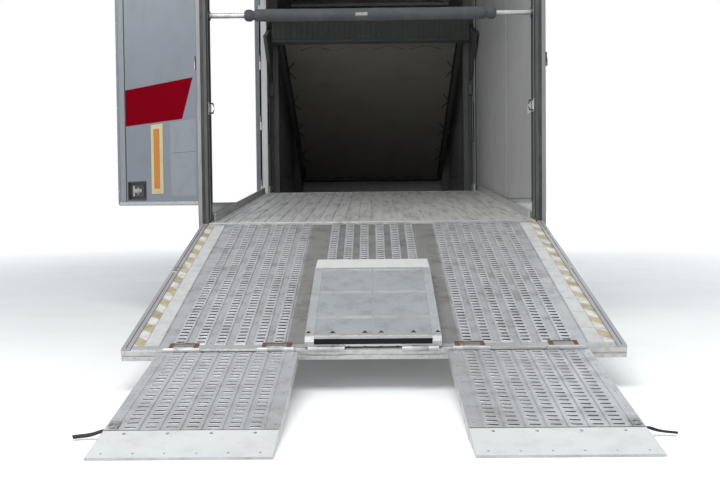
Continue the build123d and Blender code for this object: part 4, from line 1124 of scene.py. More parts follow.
class Flaps(SubAssembly):
    """Slotted faces, tips, brackets and undersides of the three ramp flaps."""

    size = FlapSizes()

    def build(self) -> None:
        """Builds each flap in its own frame."""
        ramp = sloped_axes(joint_place("ramp_hinge"), RampSizes.slope)
        for flap in FlapSide:
            name, middle, width, slope = flap.value
            y, z = RampSizes.flap_axis
            axes = sloped_axes(tuple(ramp.out((middle, y, z))), slope)
            self.face(name, axes, width)
            self.tip(name, axes, width)
            self.underside(name, axes, width)

    def face(self, name: str, axes: Axes, width: float) -> None:
        """Seven raised strips of slots, with bolts along the edges.

        Args:
            name: left, right or centre.
            axes: the flap's frame.
            width: width of the flap.
        """
        s = self.size
        half = width / 2
        columns = (np.arange(7) - 3) * width / 8.4
        taper = -s.length + s.tip
        shape = Shape()
        for x in columns:
            put_slab(shape, axes, about(x, 0.0365), (taper + 0.012, -0.02),
                     (s.top - 0.002, s.top + 0.0012), 0.001, 0)
        rows = -0.045 - np.arange(s.rows) * s.row_pitch
        # The slots' floors are near-black: painted shade of the holes' depth.
        put_slots(shape, axes, grid_places(columns, rows[rows > taper + 0.03], s.top + 0.0013), s.slot, 0, 1)
        self.make(shape, f"Flap {name} slotted face", f"flap_{name}", "flap plain", "black and painted shade")
        bolts = Shape()
        for x in (-half + 0.022, half - 0.022):
            put_domes(
                bolts, axes, grid_places([x], np.linspace(taper + 0.06, -0.08, 6), s.top), 0.0055, 0.0026)
        self.make(bolts, f"Flap {name} edge bolts", f"flap_{name}", "zinc steel")

    def tip(self, name: str, axes: Axes, width: float) -> None:
        """Pale tip strip with a rubber joint and bolts, the sheet below it and the strap bracket on the corner.

        Args:
            name: left, right or centre.
            axes: the flap's frame.
            width: width of the flap.
        """
        s = self.size
        half = width / 2
        taper = -s.length + s.tip
        shape = Shape()
        put_slabs(shape, axes, (
            ((-half + 0.001, half - 0.001), (-s.length + 0.002, taper + 0.006),
             (s.top - 0.004, s.top + 0.001), 0.001, 0),
            ((-half + 0.004, half - 0.004), (taper + 0.004, taper + 0.010),
             (s.top - 0.001, s.top + 0.0016), 0.0005, 2),
        ))
        put_domes(shape, axes, grid_places(np.linspace(-half + 0.09, half - 0.09, 4), [taper - 0.03],
                                           s.top + 0.001), 0.008, 0.003, 1)
        put_domes(shape, axes, grid_places(np.linspace(-half + 0.05, half - 0.05, 6), [-s.length + 0.04],
                                           s.top + 0.001), 0.005, 0.002, 1)
        drop = (s.thick - s.tip_thick) / s.tip
        lean = math.atan(drop)
        lower = Axes(tuple(axes.out((0, taper, s.top - s.thick))), tuple(-np.array(axes.x)),
                     tuple(math.cos(lean) * np.array(axes.y) - math.sin(lean) * np.array(axes.z)),
                     tuple(-math.cos(lean) * np.array(axes.z) - math.sin(lean) * np.array(axes.y)))
        put_slab(shape, lower, (-half + 0.003, half - 0.003), (-s.tip + 0.004, -0.004),
                 (-0.002, 0.0003), 0.0001, 0)
        put_domes(shape, lower, grid_places(np.linspace(-half + 0.05, half - 0.05, 4), [-0.022], 0.0002),
                  0.0055, 0.0008, 1)
        if name != "centre":
            side = 1 if name == "right" else -1
            x = side * (half - 0.028)
            put_slab(shape, axes, about(x, 0.022), (taper + 0.03, taper + 0.10),
                     (s.top - 0.001, s.top + 0.0035), 0.0015, 1)
            angle = np.linspace(0, 2 * math.pi, 17)[:-1]
            ring = np.stack((x + 0.018 * np.cos(angle), taper + 0.05 + 0.022 * np.sin(angle),
                             np.full(16, s.top + 0.006)), 1)
            put_tube(shape, np.concatenate((axes.out(ring), axes.out(ring[:1]))), 0.0032, 8, 1)
        self.make(shape, f"Flap {name} tip", f"flap_{name}", "tip white", "zinc steel", "seal rubber")

    def underside(self, name: str, axes: Axes, width: float) -> None:
        """Closing sheet with its seam, edge strip, hinge strips and marks of the lower side, and a near-black
        plate at the hinge end that is painted shade of the gap to the ramp.

        Args:
            name: left, right or centre.
            axes: the flap's frame.
            width: width of the flap.
        """
        s = self.size
        half = width / 2
        low = s.top - s.thick
        taper = -s.length + s.tip
        shape = Shape()
        inner = half - s.rail - 0.0005
        for a, b in ((-inner, -0.002), (0.002, inner)):
            put_slab(shape, axes, (a, b), (taper, -0.016), (low + 0.0004, low + 0.003), 0.0005, 0)
        # The last plate is near-black: painted shade at the flap's hinge end.
        put_slabs(shape, axes, (
            ((-half + 0.002, half - 0.002), (-0.060, -0.034), (low - 0.0022, low + 0.002), 0.001, 3),
            ((-0.003, 0.003), (taper + 0.01, -0.062), (low - 0.0006, low + 0.002), 0.0004, 3),
            ((-inner, inner), (taper + 0.030, taper + 0.034), (low - 0.0004, low + 0.002), 0.0004, 3),
            ((-inner, inner), (-0.0135, -0.0110), (low + 0.004, s.top - 0.012), 0.0006, 2),
        ))
        for x in (-0.32, -0.20, -0.04, 0.04, 0.20, 0.32):
            self.arrow(shape, axes, x * width / 0.67, low)
        for y in (-1.0, -0.66, -0.32):
            put_domes_down(shape, axes, grid_places(np.linspace(-half + 0.02, half - 0.02, 7), [y],
                                                    low + 0.0004), 0.005, 0.0022, 1)
        self.make(shape, f"Flap {name} underside", f"flap_{name}", "flap under", "zinc steel", "black and painted shade",
                  "rail aluminium")

    def arrow(self, shape: Shape, axes: Axes, x: float, low: float) -> None:
        """Small dark triangle on the underside that points to the tip."""
        outline = [(x - 0.013, -0.076), (x, -0.102), (x + 0.013, -0.076)]
        points = np.array([(*corner, z) for z in (low - 0.0012, low + 0.001) for corner in outline])
        sides = [[0, 1, 4, 3], [1, 2, 5, 4], [2, 0, 3, 5]]
        shape.add(axes.out(points), [np.array([[0, 2, 1], [3, 4, 5]]), np.array(sides)], 2)


def put_domes_down(shape: Shape, axes: Axes, places, radius: float, height: float, slot: int) -> None:
    """Button heads that point to the local frame's -z."""
    turned = Axes(axes.origin, tuple(-np.array(axes.x)), axes.y, tuple(-np.array(axes.z)))
    put_domes(shape, turned, np.asarray(places) * np.array((-1, 1, -1)), radius, height, slot)


class Straps(SubAssembly):
    """Doubled pull strap of each outer flap, lying from its bracket to the ground."""

    route = ((1.0503, -3.455, 0.034), (1.072, -3.455, 0.034), (1.097, -3.447, 0.023), (1.128, -3.444, 0.015),
             (1.160, -3.450, 0.013), (1.183, -3.462, 0.013))
    width = 0.022
    thick = 0.007
    lean = 65.0

    def build(self) -> None:
        """One flat curve on each side."""
        for side, name in ((-1, "left"), (1, "right")):
            data = bpy.data.curves.new(f"Strap {name}", "CURVE")
            data.dimensions = "3D"
            data.resolution_u = 8
            data.twist_mode = "Z_UP"
            data.extrude = self.width / 2 - self.thick / 2
            data.bevel_depth = self.thick / 2
            data.bevel_resolution = 3
            line = data.splines.new("NURBS")
            line.points.add(len(self.route) - 1)
            for point, (x, y, z) in zip(line.points, self.route):
                point.co = (*PLACE.spot((side * x, y, z)), 1)
                point.tilt = math.radians(self.lean)
            line.order_u = 3
            line.use_endpoint_u = True
            strap = bpy.data.objects.new(f"Strap_{name}", data)
            bpy.context.scene.collection.objects.link(strap)
            data.materials.append(self.finishes.all["webbing black"])
            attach(strap, f"flap_{name}")
            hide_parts(f"strap_{name}")


@dataclass(frozen=True)
class LeafSizes:
    """Side door leaf in its own frame: x along the leaf, z up; the outer face is at 12 mm from the axis."""

    near: float = 0.012
    far: float = 0.052
    low: float = 0.905
    high: float = 3.290
    stripe: tuple = (1.577, 1.882)
    stripe_near: tuple = (0.156, 0.324)
    plate: tuple = (0.636, 0.831, 0.999, 1.561)
    patch: tuple = (0.127, 0.515, 0.979, 1.564)
    patch_seam: float = 1.318
    lock: tuple = (0.504, 0.190, 0.955, 1.100)


class Leaf(Enum):
    """Leaves: body, side, hinge place along the truck, run along the truck, rest angle and length."""

    REAR_LEFT = ("side_door_rear_left", -1, 0.192, 1, 40.4, 1.440)
    REAR_RIGHT = ("side_door_rear_right", 1, 0.192, 1, 0.0, 1.440)
    FRONT_LEFT = ("side_door_front_left", -1, 4.184, -1, 180.0, 2.530)
    FRONT_RIGHT = ("side_door_front_right", 1, 4.184, -1, 0.0, 2.530)


@dataclass(frozen=True)
class LeafFace:
    """One face of a leaf: its level from the hinge axis and the way it looks, 1 inwards and -1 outwards."""

    axes: Axes
    inward: int
    level: float
    looks: int

    def put(self, shape: Shape, x, z, depth: float, slot: int, chamfer: float = 0.0005,
            sunk: float = 0.0006) -> None:
        """Adds a slab that stands proud of the face.

        Args:
            shape: shape to add to.
            x: limits along the leaf.
            z: limits of height.
            depth: how far it stands proud.
            slot: material slot.
            chamfer: width taken off each edge.
            sunk: how far its back lies under the face.
        """
        y = sorted(self.inward * (self.level + self.looks * reach) for reach in (-sunk, depth))
        put_slab(shape, self.axes, x, y, z, chamfer, slot)


class SideLeaves(SubAssembly):
    """Stripe, marker plate, patch, seams, edge profiles, seals and lock parts of the four side leaves."""

    size = LeafSizes()

    def build(self) -> None:
        """Builds both faces of each leaf."""
        for leaf in Leaf:
            body, side, axis_y, toward, angle, length = leaf.value
            turn = math.radians(angle)
            run = (side * math.sin(turn), toward * math.cos(turn), 0.0)
            axes = Axes(
                tuple(PLACE.spot((side * 1.267, axis_y, 0))), run, (-run[1], run[0], 0.0), (0.0, 0.0, 1.0))
            self.outside(body, axes, side * toward, length)
            self.inside(body, axes, side * toward, length)

    def outside(self, body: str, axes: Axes, inward: int, length: float) -> None:
        """The painted outer face.

        Args:
            body: name of the leaf's body.
            axes: the leaf's frame.
            inward: way inwards along the frame's y.
            length: length of the leaf.
        """
        s = self.size
        face = LeafFace(axes, inward, s.near, -1)
        shape = Shape()
        far_band = length - 0.163
        low, high = s.stripe
        points, faces = slab((1, 1, 1), 0.001)
        near_top, near_low = s.stripe_near if length < 2 else (0.062, 0.062)
        share = (points[:, 2] + 0.5)[:, None]
        start = near_low + (near_top - near_low) * share[:, 0]
        x = start + (far_band - start) * (points[:, 0] + 0.5)
        y = inward * (s.near - 0.0007 * (0.5 - inward * points[:, 1]))
        z = low + (high - low) * share[:, 0]
        shape.add(axes.out(np.stack((x, y, z), 1)), faces, 0)
        face.put(shape, (far_band, far_band + 0.021), (s.low + 0.03, s.high - 0.03), 0.0010, 3)
        face.put(shape, (length - 0.145, length - 0.046), (s.low + 0.034, s.high - 0.034), 0.0012, 4)
        face.put(shape, (0.055, 0.100), (s.low + 0.034, s.high - 0.034), 0.0012, 4)
        if length < 2:
            x0, x1, z0, z1 = s.plate
            face.put(shape, (x0, x1), (z0, z1), 0.0035, 1, 0.001)
            face.put(shape, (x0 + 0.051, x1 - 0.044), (z0 + 0.041, z1 - 0.037), 0.0042, 2)
            x0, x1, z0, z1 = s.patch
            face.put(shape, (x0, x1), (z0, z1), 0.0006, 5)
            face.put(shape, (x0, x1), about(s.patch_seam, 0.0015), 0.0009, 3)
        else:
            for middle in (0.8, 1.6):
                face.put(shape, about(middle, 0.0015), (s.low + 0.03, s.high - 0.03), 0.0008, 3)
        face.put(shape, (0.030, length - 0.030), (s.high - 0.030, s.high - 0.006), 0.0028, 6)
        face.put(shape, (0.030, length - 0.030), (s.low + 0.006, s.low + 0.030), 0.0028, 6)
        x0, x1, z0, z1 = length - s.lock[0], length - s.lock[1], s.lock[2], s.lock[3]
        middle = (z0 + z1) / 2
        dish = (((x0 + 0.001, x1 - 0.001), (z0 + 0.001, z1 - 0.001), -0.0165),
                ((x0 - 0.008, x1 + 0.008), (z0 - 0.008, z0 + 0.003), 0.003),
                ((x0 - 0.008, x1 + 0.008), (z1 - 0.003, z1 + 0.008), 0.003),
                ((x0 - 0.008, x0 + 0.003), (z0, z1), 0.003),
                ((x1 - 0.003, x1 + 0.008), (z0, z1), 0.003))
        for x, z, depth in dish:
            face.put(shape, x, z, depth, 7, 0.002, 0.0185)
        handle = (((x0 + 0.05, x1 - 0.05), about(middle, 0.052), -0.010, 7),
                  ((x0 + 0.085, x1 - 0.085), about(middle, 0.014), -0.001, 8),
                  ((x1 - 0.10, x1 - 0.075), about(middle, 0.045), -0.003, 8))
        for x, z, depth, slot in handle:
            face.put(shape, x, z, depth, slot, 0.004, 0.016)
        self.make(shape, f"{body} outer livery", body, "stripe red", "marker cream", "marker orange",
                  "seam dark", "leaf band", "leaf patch", "rail aluminium", "black plastic", "zinc steel")
        parts = Shape()
        rows = np.arange(s.low + 0.12, s.high - 0.1, 0.24)
        outward_axes = Axes(axes.origin, axes.x if inward < 0 else tuple(-np.array(axes.x)), axes.z,
                            tuple(-inward * np.array(axes.y)))
        sign = 1 if inward < 0 else -1
        for x in (0.027, length - 0.023):
            put_domes(parts, outward_axes, [(sign * x, z, -s.near + 0.003) for z in rows], 0.006, 0.0028, 0)
        self.make(parts, f"{body} rivets", body, "rail aluminium")

    def inside(self, body: str, axes: Axes, inward: int, length: float) -> None:
        """Lining with its seams and edge strips, and the handles of the left leaves.

        Args:
            body: name of the leaf's body.
            axes: the leaf's frame.
            inward: way inwards along the frame's y.
            length: length of the leaf.
        """
        s = self.size
        face = LeafFace(axes, inward, s.far, 1)
        shape = Shape()
        face.put(shape, (0.048, length - 0.044), (s.low + 0.032, s.high - 0.032), 0.0012, 0)
        steps = int(length / 0.6)
        for i in range(1, steps + 1):
            x = i * length / (steps + 1)
            face.put(shape, about(x, 0.0015), (s.low + 0.034, s.high - 0.034), 0.0016, 0)
        for x in (0.012, length - 0.016):
            face.put(shape, about(x, 0.006), (s.low + 0.036, s.high - 0.036), 0.0066, 0, 0.002)
        for z in (s.low + 0.016, s.high - 0.016):
            face.put(shape, (0.04, length - 0.04), about(z, 0.006), 0.0045, 0, 0.002)
        if length < 2:
            face.put(shape, (0.02, 0.26), (1.585, 1.655), 0.004, 4, 0.002)
        for z in (1.45, 2.65) if "left" in body else ():
            face.put(shape, (length - 0.2, length - 0.11), about(z, 0.03), 0.009, 3, 0.002)
            face.put(shape, (length - 0.17, length - 0.14), about(z, 0.09), 0.014, 3, 0.003)
        self.make(shape, f"{body} inner lining", body, "lining grey", "seam dark", "seal rubber",
                  "zinc steel", "tip white")


class Portal(SubAssembly):
    """Strips and seals on the rear posts, latches, floor edge profile, header lamps and the blank plate."""

    def build(self) -> None:
        """Builds everything that is fixed to the rear frame."""
        shape = Shape()
        t = self.truck
        for side in (-1, 1):
            # Slot 2 and slot 8 are the posts' aluminium darkened as painted shade, deep inside and half on the
            # outer strip.
            put_slabs(shape, t, (
                ((1.246, 1.273), (-0.0014, 0.002), (0.58, 3.98), 0.0006, 8),
                ((1.2235, 1.2445), (-0.0012, 0.002), (0.70, 3.98), 0.0006, 1),
                ((1.203, 1.222), (-0.0014, 0.002), (0.58, 3.98), 0.0006, 2),
                ((1.194, 1.201), (0.012, 0.030), (0.79, 3.72), 0.002, 1),
                ((1.197, 1.201), (0.060, 0.078), (0.79, 3.72), 0.001, 3),
                ((1.196, 1.201), (0.160, 0.176), (0.91, 3.72), 0.001, 1),
            ), side)
            for z in (1.62, 2.95):
                put_slab(shape, t, across(side, 1.194, 1.2005), (0.045, 0.135), about(z, 0.045), 0.003, 7)
                rounded = [(0, 0.060, 0.038), (-0.030, 0.066, 0.034), (-0.042, 0.072, 0.0),
                           (-0.030, 0.066, -0.034), (0, 0.060, -0.038)]
                put_tube(
                    shape, PLACE.spot([(side * (1.197 + x), y, z + dz) for x, y, dz in rounded]), 0.007, 8, 4)
            for z in (1.93, 3.25):
                put_slabs(shape, t, (
                    ((1.275, 1.289), (0.02, 0.075), (z, z + 0.07), 0.003, 4),
                    ((1.285, 1.296), (0.03, 0.06), about(z, 0.03), 0.003, 3),
                ), side)
            for z in np.arange(0.9, 3.9, 0.35):
                put_slab(shape, t, across(side, 1.2745, 1.277), (0.125, 0.14), (z, z + 0.015), 0.001, 3)
            put_slab(shape, t, across(side, 1.15, 1.24), (0.096, 0.10), (3.86, 3.90), 0.002, 5)
        put_slabs(shape, t, (
            ((-1.196, 1.196), (-0.002, 0.040), (0.764, 0.7758), 0.0015, 0),
            ((-1.196, 1.196), (-0.0015, 0.002), (0.716, 0.758), 0.001, 6),
            ((-1.19, 1.19), (0.096, 0.101), (3.76, 3.80), 0.001, 1),
        ))
        for x in np.linspace(-0.4, 0.4, 3):
            put_slab(shape, t, about(x, 0.05), (0.088, 0.101), (3.90, 3.93), 0.003, 5)
        put_slabs(shape, t, (
            ((-0.27, 0.27), (0.052, 0.060), (0.480, 0.600), 0.002, 4),
            ((-0.26, 0.26), (0.049, 0.053), (0.487, 0.597), 0.001, 7),
        ))
        self.make(shape, "Rear frame trim", "chassis", "rail aluminium", "seal rubber", "post metal painted shade",
                  "zinc steel", "black plastic", "lamp red", "floor planks", "tip white", "post metal painted half shade")


@dataclass(frozen=True)
class BarSizes:
    """Foam sleeve on the cross bar."""

    y: float = 0.140
    z: float = 2.310
    radius: float = 0.0455
    inner: float = 0.0195
    half: float = 0.932
    tie: float = 0.862
    torn: float = -0.07
    widest: float = 0.0474


class BarPadding(SubAssembly):
    """Foam sleeve pinched by its ties, with a slit below and a torn spot that shows lighter foam."""

    size = BarSizes()

    def build(self) -> None:
        """Replaces the padding by a soft closed sleeve, and adds the ties and bar flanges."""
        s = self.size
        stations, around = 150, 36
        x = np.concatenate(([-s.half], np.linspace(-s.half + 0.001, s.half - 0.001, stations - 2), [s.half]))
        angle = np.arange(around) * 2 * math.pi / around
        pinch = 1 - 0.30 * np.exp(-((np.abs(x) - s.tie) / 0.013) ** 2)
        wave = 1 + 0.012 * np.sin(x * 9 + 1) + 0.008 * np.sin(x * 23)
        ends = 1 - 0.35 * np.exp(-(s.half - np.abs(x)) / 0.008)
        below = (angle + math.pi / 2 + math.pi) % (2 * math.pi) - math.pi
        slit = 1 - 0.06 * np.exp(-below ** 2 / 0.008)
        from_rear = np.minimum(angle, 2 * math.pi - angle)[None]
        torn = np.exp(-((x[:, None] - s.torn) / 0.03) ** 2 - (from_rear - 0.2) ** 2 / 0.12)
        radius = (s.radius * pinch * wave * ends)[:, None] * slit[None]
        radius = np.minimum(radius * (1 - 0.10 * torn), s.widest)
        sag = -0.0012 * np.cos(x * math.pi / 2 / s.half)
        along, turned = np.broadcast_to(x[:, None], radius.shape), angle + math.pi
        outer = np.stack(
            (along, s.y + radius * np.cos(turned), s.z + sag[:, None] + radius * np.sin(turned)), 2)
        bore = np.stack((along, s.y + s.inner * np.cos(turned) + 0 * along,
                         s.z + s.inner * np.sin(turned) + 0 * along), 2)
        shape = Shape()
        n = stations * around
        skin = grid_quads(stations, around)
        ring = np.arange(around)
        after = (ring + 1) % around
        last = (stations - 1) * around
        cap_a = np.stack((ring, ring + n, after + n, after), 1)
        cap_b = np.stack((ring + last, after + last, after + last + n, ring + last + n), 1)
        points = PLACE.spot(np.concatenate((outer.reshape(-1, 3), bore.reshape(-1, 3))))
        shape.add(points, [np.concatenate((skin[:, ::-1], skin + n, cap_a[:, ::-1], cap_b[:, ::-1]))])
        pad = self.make(shape, "Bar foam sleeve", "chassis", "foam", crease=60)
        torn_faces = ((np.abs(x[:-1] - s.torn) < 0.040)[:, None] & (from_rear < 0.3)).ravel()
        pad.data.materials.append(self.finishes.all["foam light"])
        slots = np.zeros(len(pad.data.polygons), np.int32)
        slots[:len(torn_faces)] = torn_faces
        pad.data.polygons.foreach_set("material_index", slots)
        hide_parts("bar_padding")
        self.ties()

    def ties(self) -> None:
        """Three turns of cord with a knot at each neck, and flanges where the bar meets the posts."""
        s = self.size
        shape = Shape()
        for side in (-1, 1):
            turns = np.linspace(0, 6 * math.pi, 73)
            r = s.radius * 0.72
            path = np.stack((side * s.tie + (turns - 3 * math.pi) * 0.0004, s.y + r * np.cos(turns),
                             s.z + r * np.sin(turns)), 1)
            put_tube(shape, PLACE.spot(path), 0.0016, 8, 0, (1, 0, 0))
            put_slab(shape, self.truck, about(side * s.tie, 0.006), (s.y - r - 0.007, s.y - r + 0.003),
                     about(s.z, 0.006), 0.003, 0)
            x = across(side, 1.187, 1.190)
            put_lathe(shape, [(x[0], 0.0205), (x[1], 0.0205), (x[1], 0.030), (x[0], 0.030)],
                      PLACE.spot((0, s.y, s.z)), around=24, slot=1)
        self.make(shape, "Bar ties and flanges", "chassis", "lace cord", "zinc steel")


class LoadSpace(SubAssembly):
    """Lining panels with seams, lashing rails, floor screws and lamps inside the body."""

    floor_level = 1.020
    crest = 3.700
    rear = 0.770

    def build(self) -> None:
        """Builds the walls' and front wall's inner faces and the floor's fittings."""
        t = self.truck
        shape = Shape()
        height = (1.03, 3.93)
        for side in (-1, 1):
            edges = np.linspace(4.255, 9.135, 5)
            for low, high in zip(edges, edges[1:]):
                put_slab(
                    shape, t, across(side, 1.1985, 1.2006), (low + 0.0015, high - 0.0015), height, 0.0008, 0)
            edges = np.linspace(0.185, 4.185, 4)
            for low, high in zip(edges, edges[1:]):
                put_slab(shape, t, across(side, 1.1985, 1.2006), (low + 0.0015, high - 0.0015),
                         (3.362, 3.93), 0.0008, 0)
            put_slabs(shape, t, (
                ((1.2002, 1.2045), (0.186, 2.20), (0.850, 0.925), 0.001, 3),
                ((1.1925, 1.1935), (4.20, 4.212), (1.03, 3.29), 0.0004, 1),
                ((1.190, 1.1925), (4.216, 4.244), (1.03, 3.29), 0.001, 2 if side < 0 else 0),
                ((1.188, 1.2006), (4.335, 4.35), (1.59, 2.07), 0.003, 1),
            ), side)
            if side > 0:
                put_slab(shape, t, (1.1942, 1.2145), (4.1885, 4.1915), (1.03, 3.29), 0.0005, 1)
            # The strip in slot 6 on each lift column's rear face is aluminium darkened as painted shade.
            put_slabs(shape, t, (
                ((1.147, 1.1925), (4.468, 4.562), (2.160, 2.288), 0.005, 5),
                ((1.150, 1.190), (4.552, 4.5605), (1.03, 2.158), 0.002, 6),
            ), side)
            for x in (1.155, 1.170, 1.185):
                put_slab(
                    shape, t, across(side, x - 0.0015, x + 0.0015), (4.550, 4.5535), (1.03, 2.158), 0.0005, 1)
            for z in (1.25, 1.95):
                put_slab(shape, t, across(side, 1.186, 1.2), (4.74, 9.10), (z, z + 0.038), 0.003, 3)
                for y in np.arange(4.80, 9.05, 0.1):
                    put_slab(shape, t, across(side, 1.1852, 1.187), about(y, 0.012),
                             (z + 0.013, z + 0.025), 0.0006, 1)
            for y in (1.2, 3.0, 5.2, 7.4):
                put_slab(shape, t, across(side, 0.99, 1.03), about(y, 0.5), (3.915, 3.939), 0.004, 4)
        # The front wall's panels take the pale white instead of the lining grey: painted light from the open
        # left doorway.
        edges = np.linspace(-1.19, 1.19, 5)
        for low, high in zip(edges, edges[1:]):
            put_slab(shape, t, (low + 0.0015, high - 0.0015), (9.1385, 9.141), height, 0.0008, 4)
        self.make(shape, "Load space lining", "chassis", "lining grey", "seam dark", "white strip",
                  "rail aluminium", "tip white", "lift steel", "post metal painted shade")
        self.floor_parts()

    def floor_parts(self) -> None:
        """Crest profile, edge skirtings and countersunk screws on the planks."""
        slope = math.degrees(math.atan2(self.floor_level - self.rear, self.crest))
        ramp = sloped_axes(tuple(PLACE.spot((0, 0, self.rear))), slope)
        run = math.hypot(self.crest, self.floor_level - self.rear)
        shape = Shape()
        rows = np.arange(0.15, run - 0.05, 0.9)
        columns = np.array([x * 0.1 + 0.05 for x in range(-11, 11)])
        put_domes(shape, ramp, grid_places(columns, rows, 0.0), 0.005, 0.0012, 0)
        put_domes(shape, self.truck, grid_places(columns, np.arange(3.9, 9.0, 0.45), self.floor_level),
                  0.005, 0.0012, 0)
        put_slab(shape, self.truck, (-1.188, 1.188), (3.668, 3.732),
                 (self.floor_level - 0.003, self.floor_level + 0.0025), 0.002, 1)
        for side in (-1, 1):
            x = across(side, 1.176, 1.1915)
            put_slab(
                shape, self.truck, x, (4.25, 9.13), (self.floor_level, self.floor_level + 0.09), 0.003, 1)
            put_slab(shape, ramp, x, (0.19, run), (0.0, 0.06), 0.003, 1)
        self.make(shape, "Load floor fittings", "chassis", "zinc steel", "rail aluminium")


@dataclass(frozen=True)
class DeckSizes:
    """Upper deck: its frame lies on the pivot, y forward along the deck and z up."""

    pivot: tuple = (0.0, 4.640, 2.850)
    tilt: float = 22.4
    rear: float = -0.320
    front: float = 4.050
    half: float = 1.085
    rail_in: float = 1.035
    beam: tuple = (-0.230, 0.080)
    beam_half: float = 1.145
    sheet_half: float = 1.012
    sheet_rear: float = 0.006
    sheet_front: float = 3.945
    sheet_top: float = -0.0615
    sheet_thick: float = 0.003
    lace_pitch: float = 0.83
    lace_reach: float = 0.215


class Deck(SubAssembly):
    """Ribs, plates and wheel tracks of the upper deck, with the laced tarpaulin under it."""

    size = DeckSizes()

    def build(self) -> None:
        """Builds everything that rides on the upper deck."""
        s = self.size
        axes = sloped_axes(tuple(PLACE.spot(s.pivot)), -s.tilt)
        self.frame_parts(axes)
        self.sheet(axes)

    def frame_parts(self, axes: Axes) -> None:
        """Ribs on the rear beam, end plates, tracks with raised strips, bolts and a black tube along the inner
        edge of each rail.

        Args:
            axes: the deck's frame.
        """
        s = self.size
        shape = Shape()
        low, high = s.beam
        for x in np.linspace(-1.10, 1.10, 37):
            put_slab(shape, axes, about(x, 0.006), (s.rear - 0.006, s.rear + 0.002),
                     (low + 0.035, high - 0.03), 0.003, 0)
        for z, thick in ((low, 0.030), (low + 0.034, 0.006), (high - 0.030, 0.008), (high - 0.012, 0.012)):
            put_slab(shape, axes, (-s.beam_half, s.beam_half), (s.rear - 0.012, s.rear + 0.002),
                     (z, z + thick), 0.003, 0)
        for side in (-1, 1):
            x = across(side, s.half - 0.001, s.half + 0.011)
            put_slab(shape, axes, x, (s.rear + 0.065, -0.11), (-0.088, 0.058), 0.003, 0)
            turned = Axes(axes.origin, tuple(side * np.array(axes.y)), axes.z, tuple(side * np.array(axes.x)))
            places = [(side * y, z, s.half + 0.011) for y in (-0.23, -0.15) for z in (-0.06, 0.03)]
            put_domes(shape, turned, places, 0.013, 0.008, 1)
            for low, high in ((0.28, 0.43), (0.62, 0.95)):
                x = across(side, low, high)
                put_slab(shape, axes, x, (s.rear + 0.14, s.front - 0.1), (0.030, 0.0365), 0.002, 2)
            # A black tube along the inner edge of each rail.
            put_tube(
                shape, axes.out([(side * 1.029, 0.05, -0.086), (side * 1.029, 2.80, -0.086)]), 0.006, 8, 4)
        for n in range(18):
            width, height = ((0.007, 0.0025), (0.0025, 0.007))[n % 2]
            y = 2.83 + 0.036 * n
            put_slab(shape, axes, about(-1.025, width), (y, y + 0.045), about(-0.086, height), 0.002, 1)
        columns = [side * x for side in (-1, 1) for x in (0.355, 0.70, 0.785, 0.87)]
        slots = SlotSizes(0.05, 0.014, 0.004, 0.003)
        # The slots' floors are near-black: painted shade of the holes' depth.
        put_slots(shape, axes, grid_places(columns, np.arange(-0.1, 3.85, 0.11), 0.0366), slots, 2, 3)
        self.make(shape, "Deck ribs and tracks", "upper_deck", "deck paint", "zinc steel", "ramp raised",
                  "black and painted shade", "black plastic")

    def height(self, x: Array, y: Array) -> Array:
        """Height of the cloth: it sags between the cross beams and puckers at each eyelet.

        Args:
            x: places across.
            y: places along.

        Returns:
            Offset from its flat plane, never above it.
        """
        s = self.size
        bay = np.sin((y - 0.4) / 0.6 * math.pi) ** 2
        belly = np.cos(x / s.sheet_half * math.pi / 2) ** 0.6
        sag = -0.0045 * bay * belly
        from_edge = np.minimum(s.sheet_half - np.abs(x), np.minimum(y - s.sheet_rear, s.sheet_front - y))
        fold_x = np.cos(2 * math.pi * (y - 0.62) / s.lace_pitch) * np.exp(-(s.sheet_half - np.abs(x)) / 0.09)
        fold_y = np.cos(2 * math.pi * (x - 0.43) / 0.86) * np.exp(
            -np.minimum(y - s.sheet_rear, s.sheet_front - y) / 0.09)
        creases = 0.0012 * np.sin(7 * x + 3 * y + 1.5 * np.sin(2.3 * y)) * np.minimum(from_edge / 0.2, 1)
        return sag - 0.002 + 0.0018 * (fold_x + fold_y) + creases - 0.001

    def sheet(self, axes: Axes) -> None:
        """Cloth with thickness, eyelets and one zigzag lace to the deck's rails.

        Args:
            axes: the deck's frame.
        """
        s = self.size
        nx, ny = 75, 221
        x, y = np.meshgrid(
            np.linspace(-s.sheet_half, s.sheet_half, nx), np.linspace(s.sheet_rear, s.sheet_front, ny))
        high = s.sheet_top + np.minimum(self.height(x, y), 0)
        top = np.stack((x, y, high), 2).reshape(-1, 3)
        low = top - np.array((0, 0, s.sheet_thick))
        skin = grid_quads(ny, nx, closed=False)
        n = nx * ny
        edge = np.concatenate((np.arange(nx), np.arange(1, ny) * nx + nx - 1,
                               (ny - 1) * nx + np.arange(nx - 2, -1, -1), np.arange(ny - 2, 0, -1) * nx))
        after = np.roll(edge, -1)
        rim = np.stack((edge, edge + n, after + n, after), 1)
        shape = Shape()
        shape.add(axes.out(np.concatenate((top, low))), [np.concatenate((skin, skin[:, ::-1] + n, rim))])
        cloth = self.make(shape, "Deck tarpaulin", "upper_deck", "tarpaulin", crease=50)
        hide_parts("deck_sheet")
        lace = self.lacing(axes)

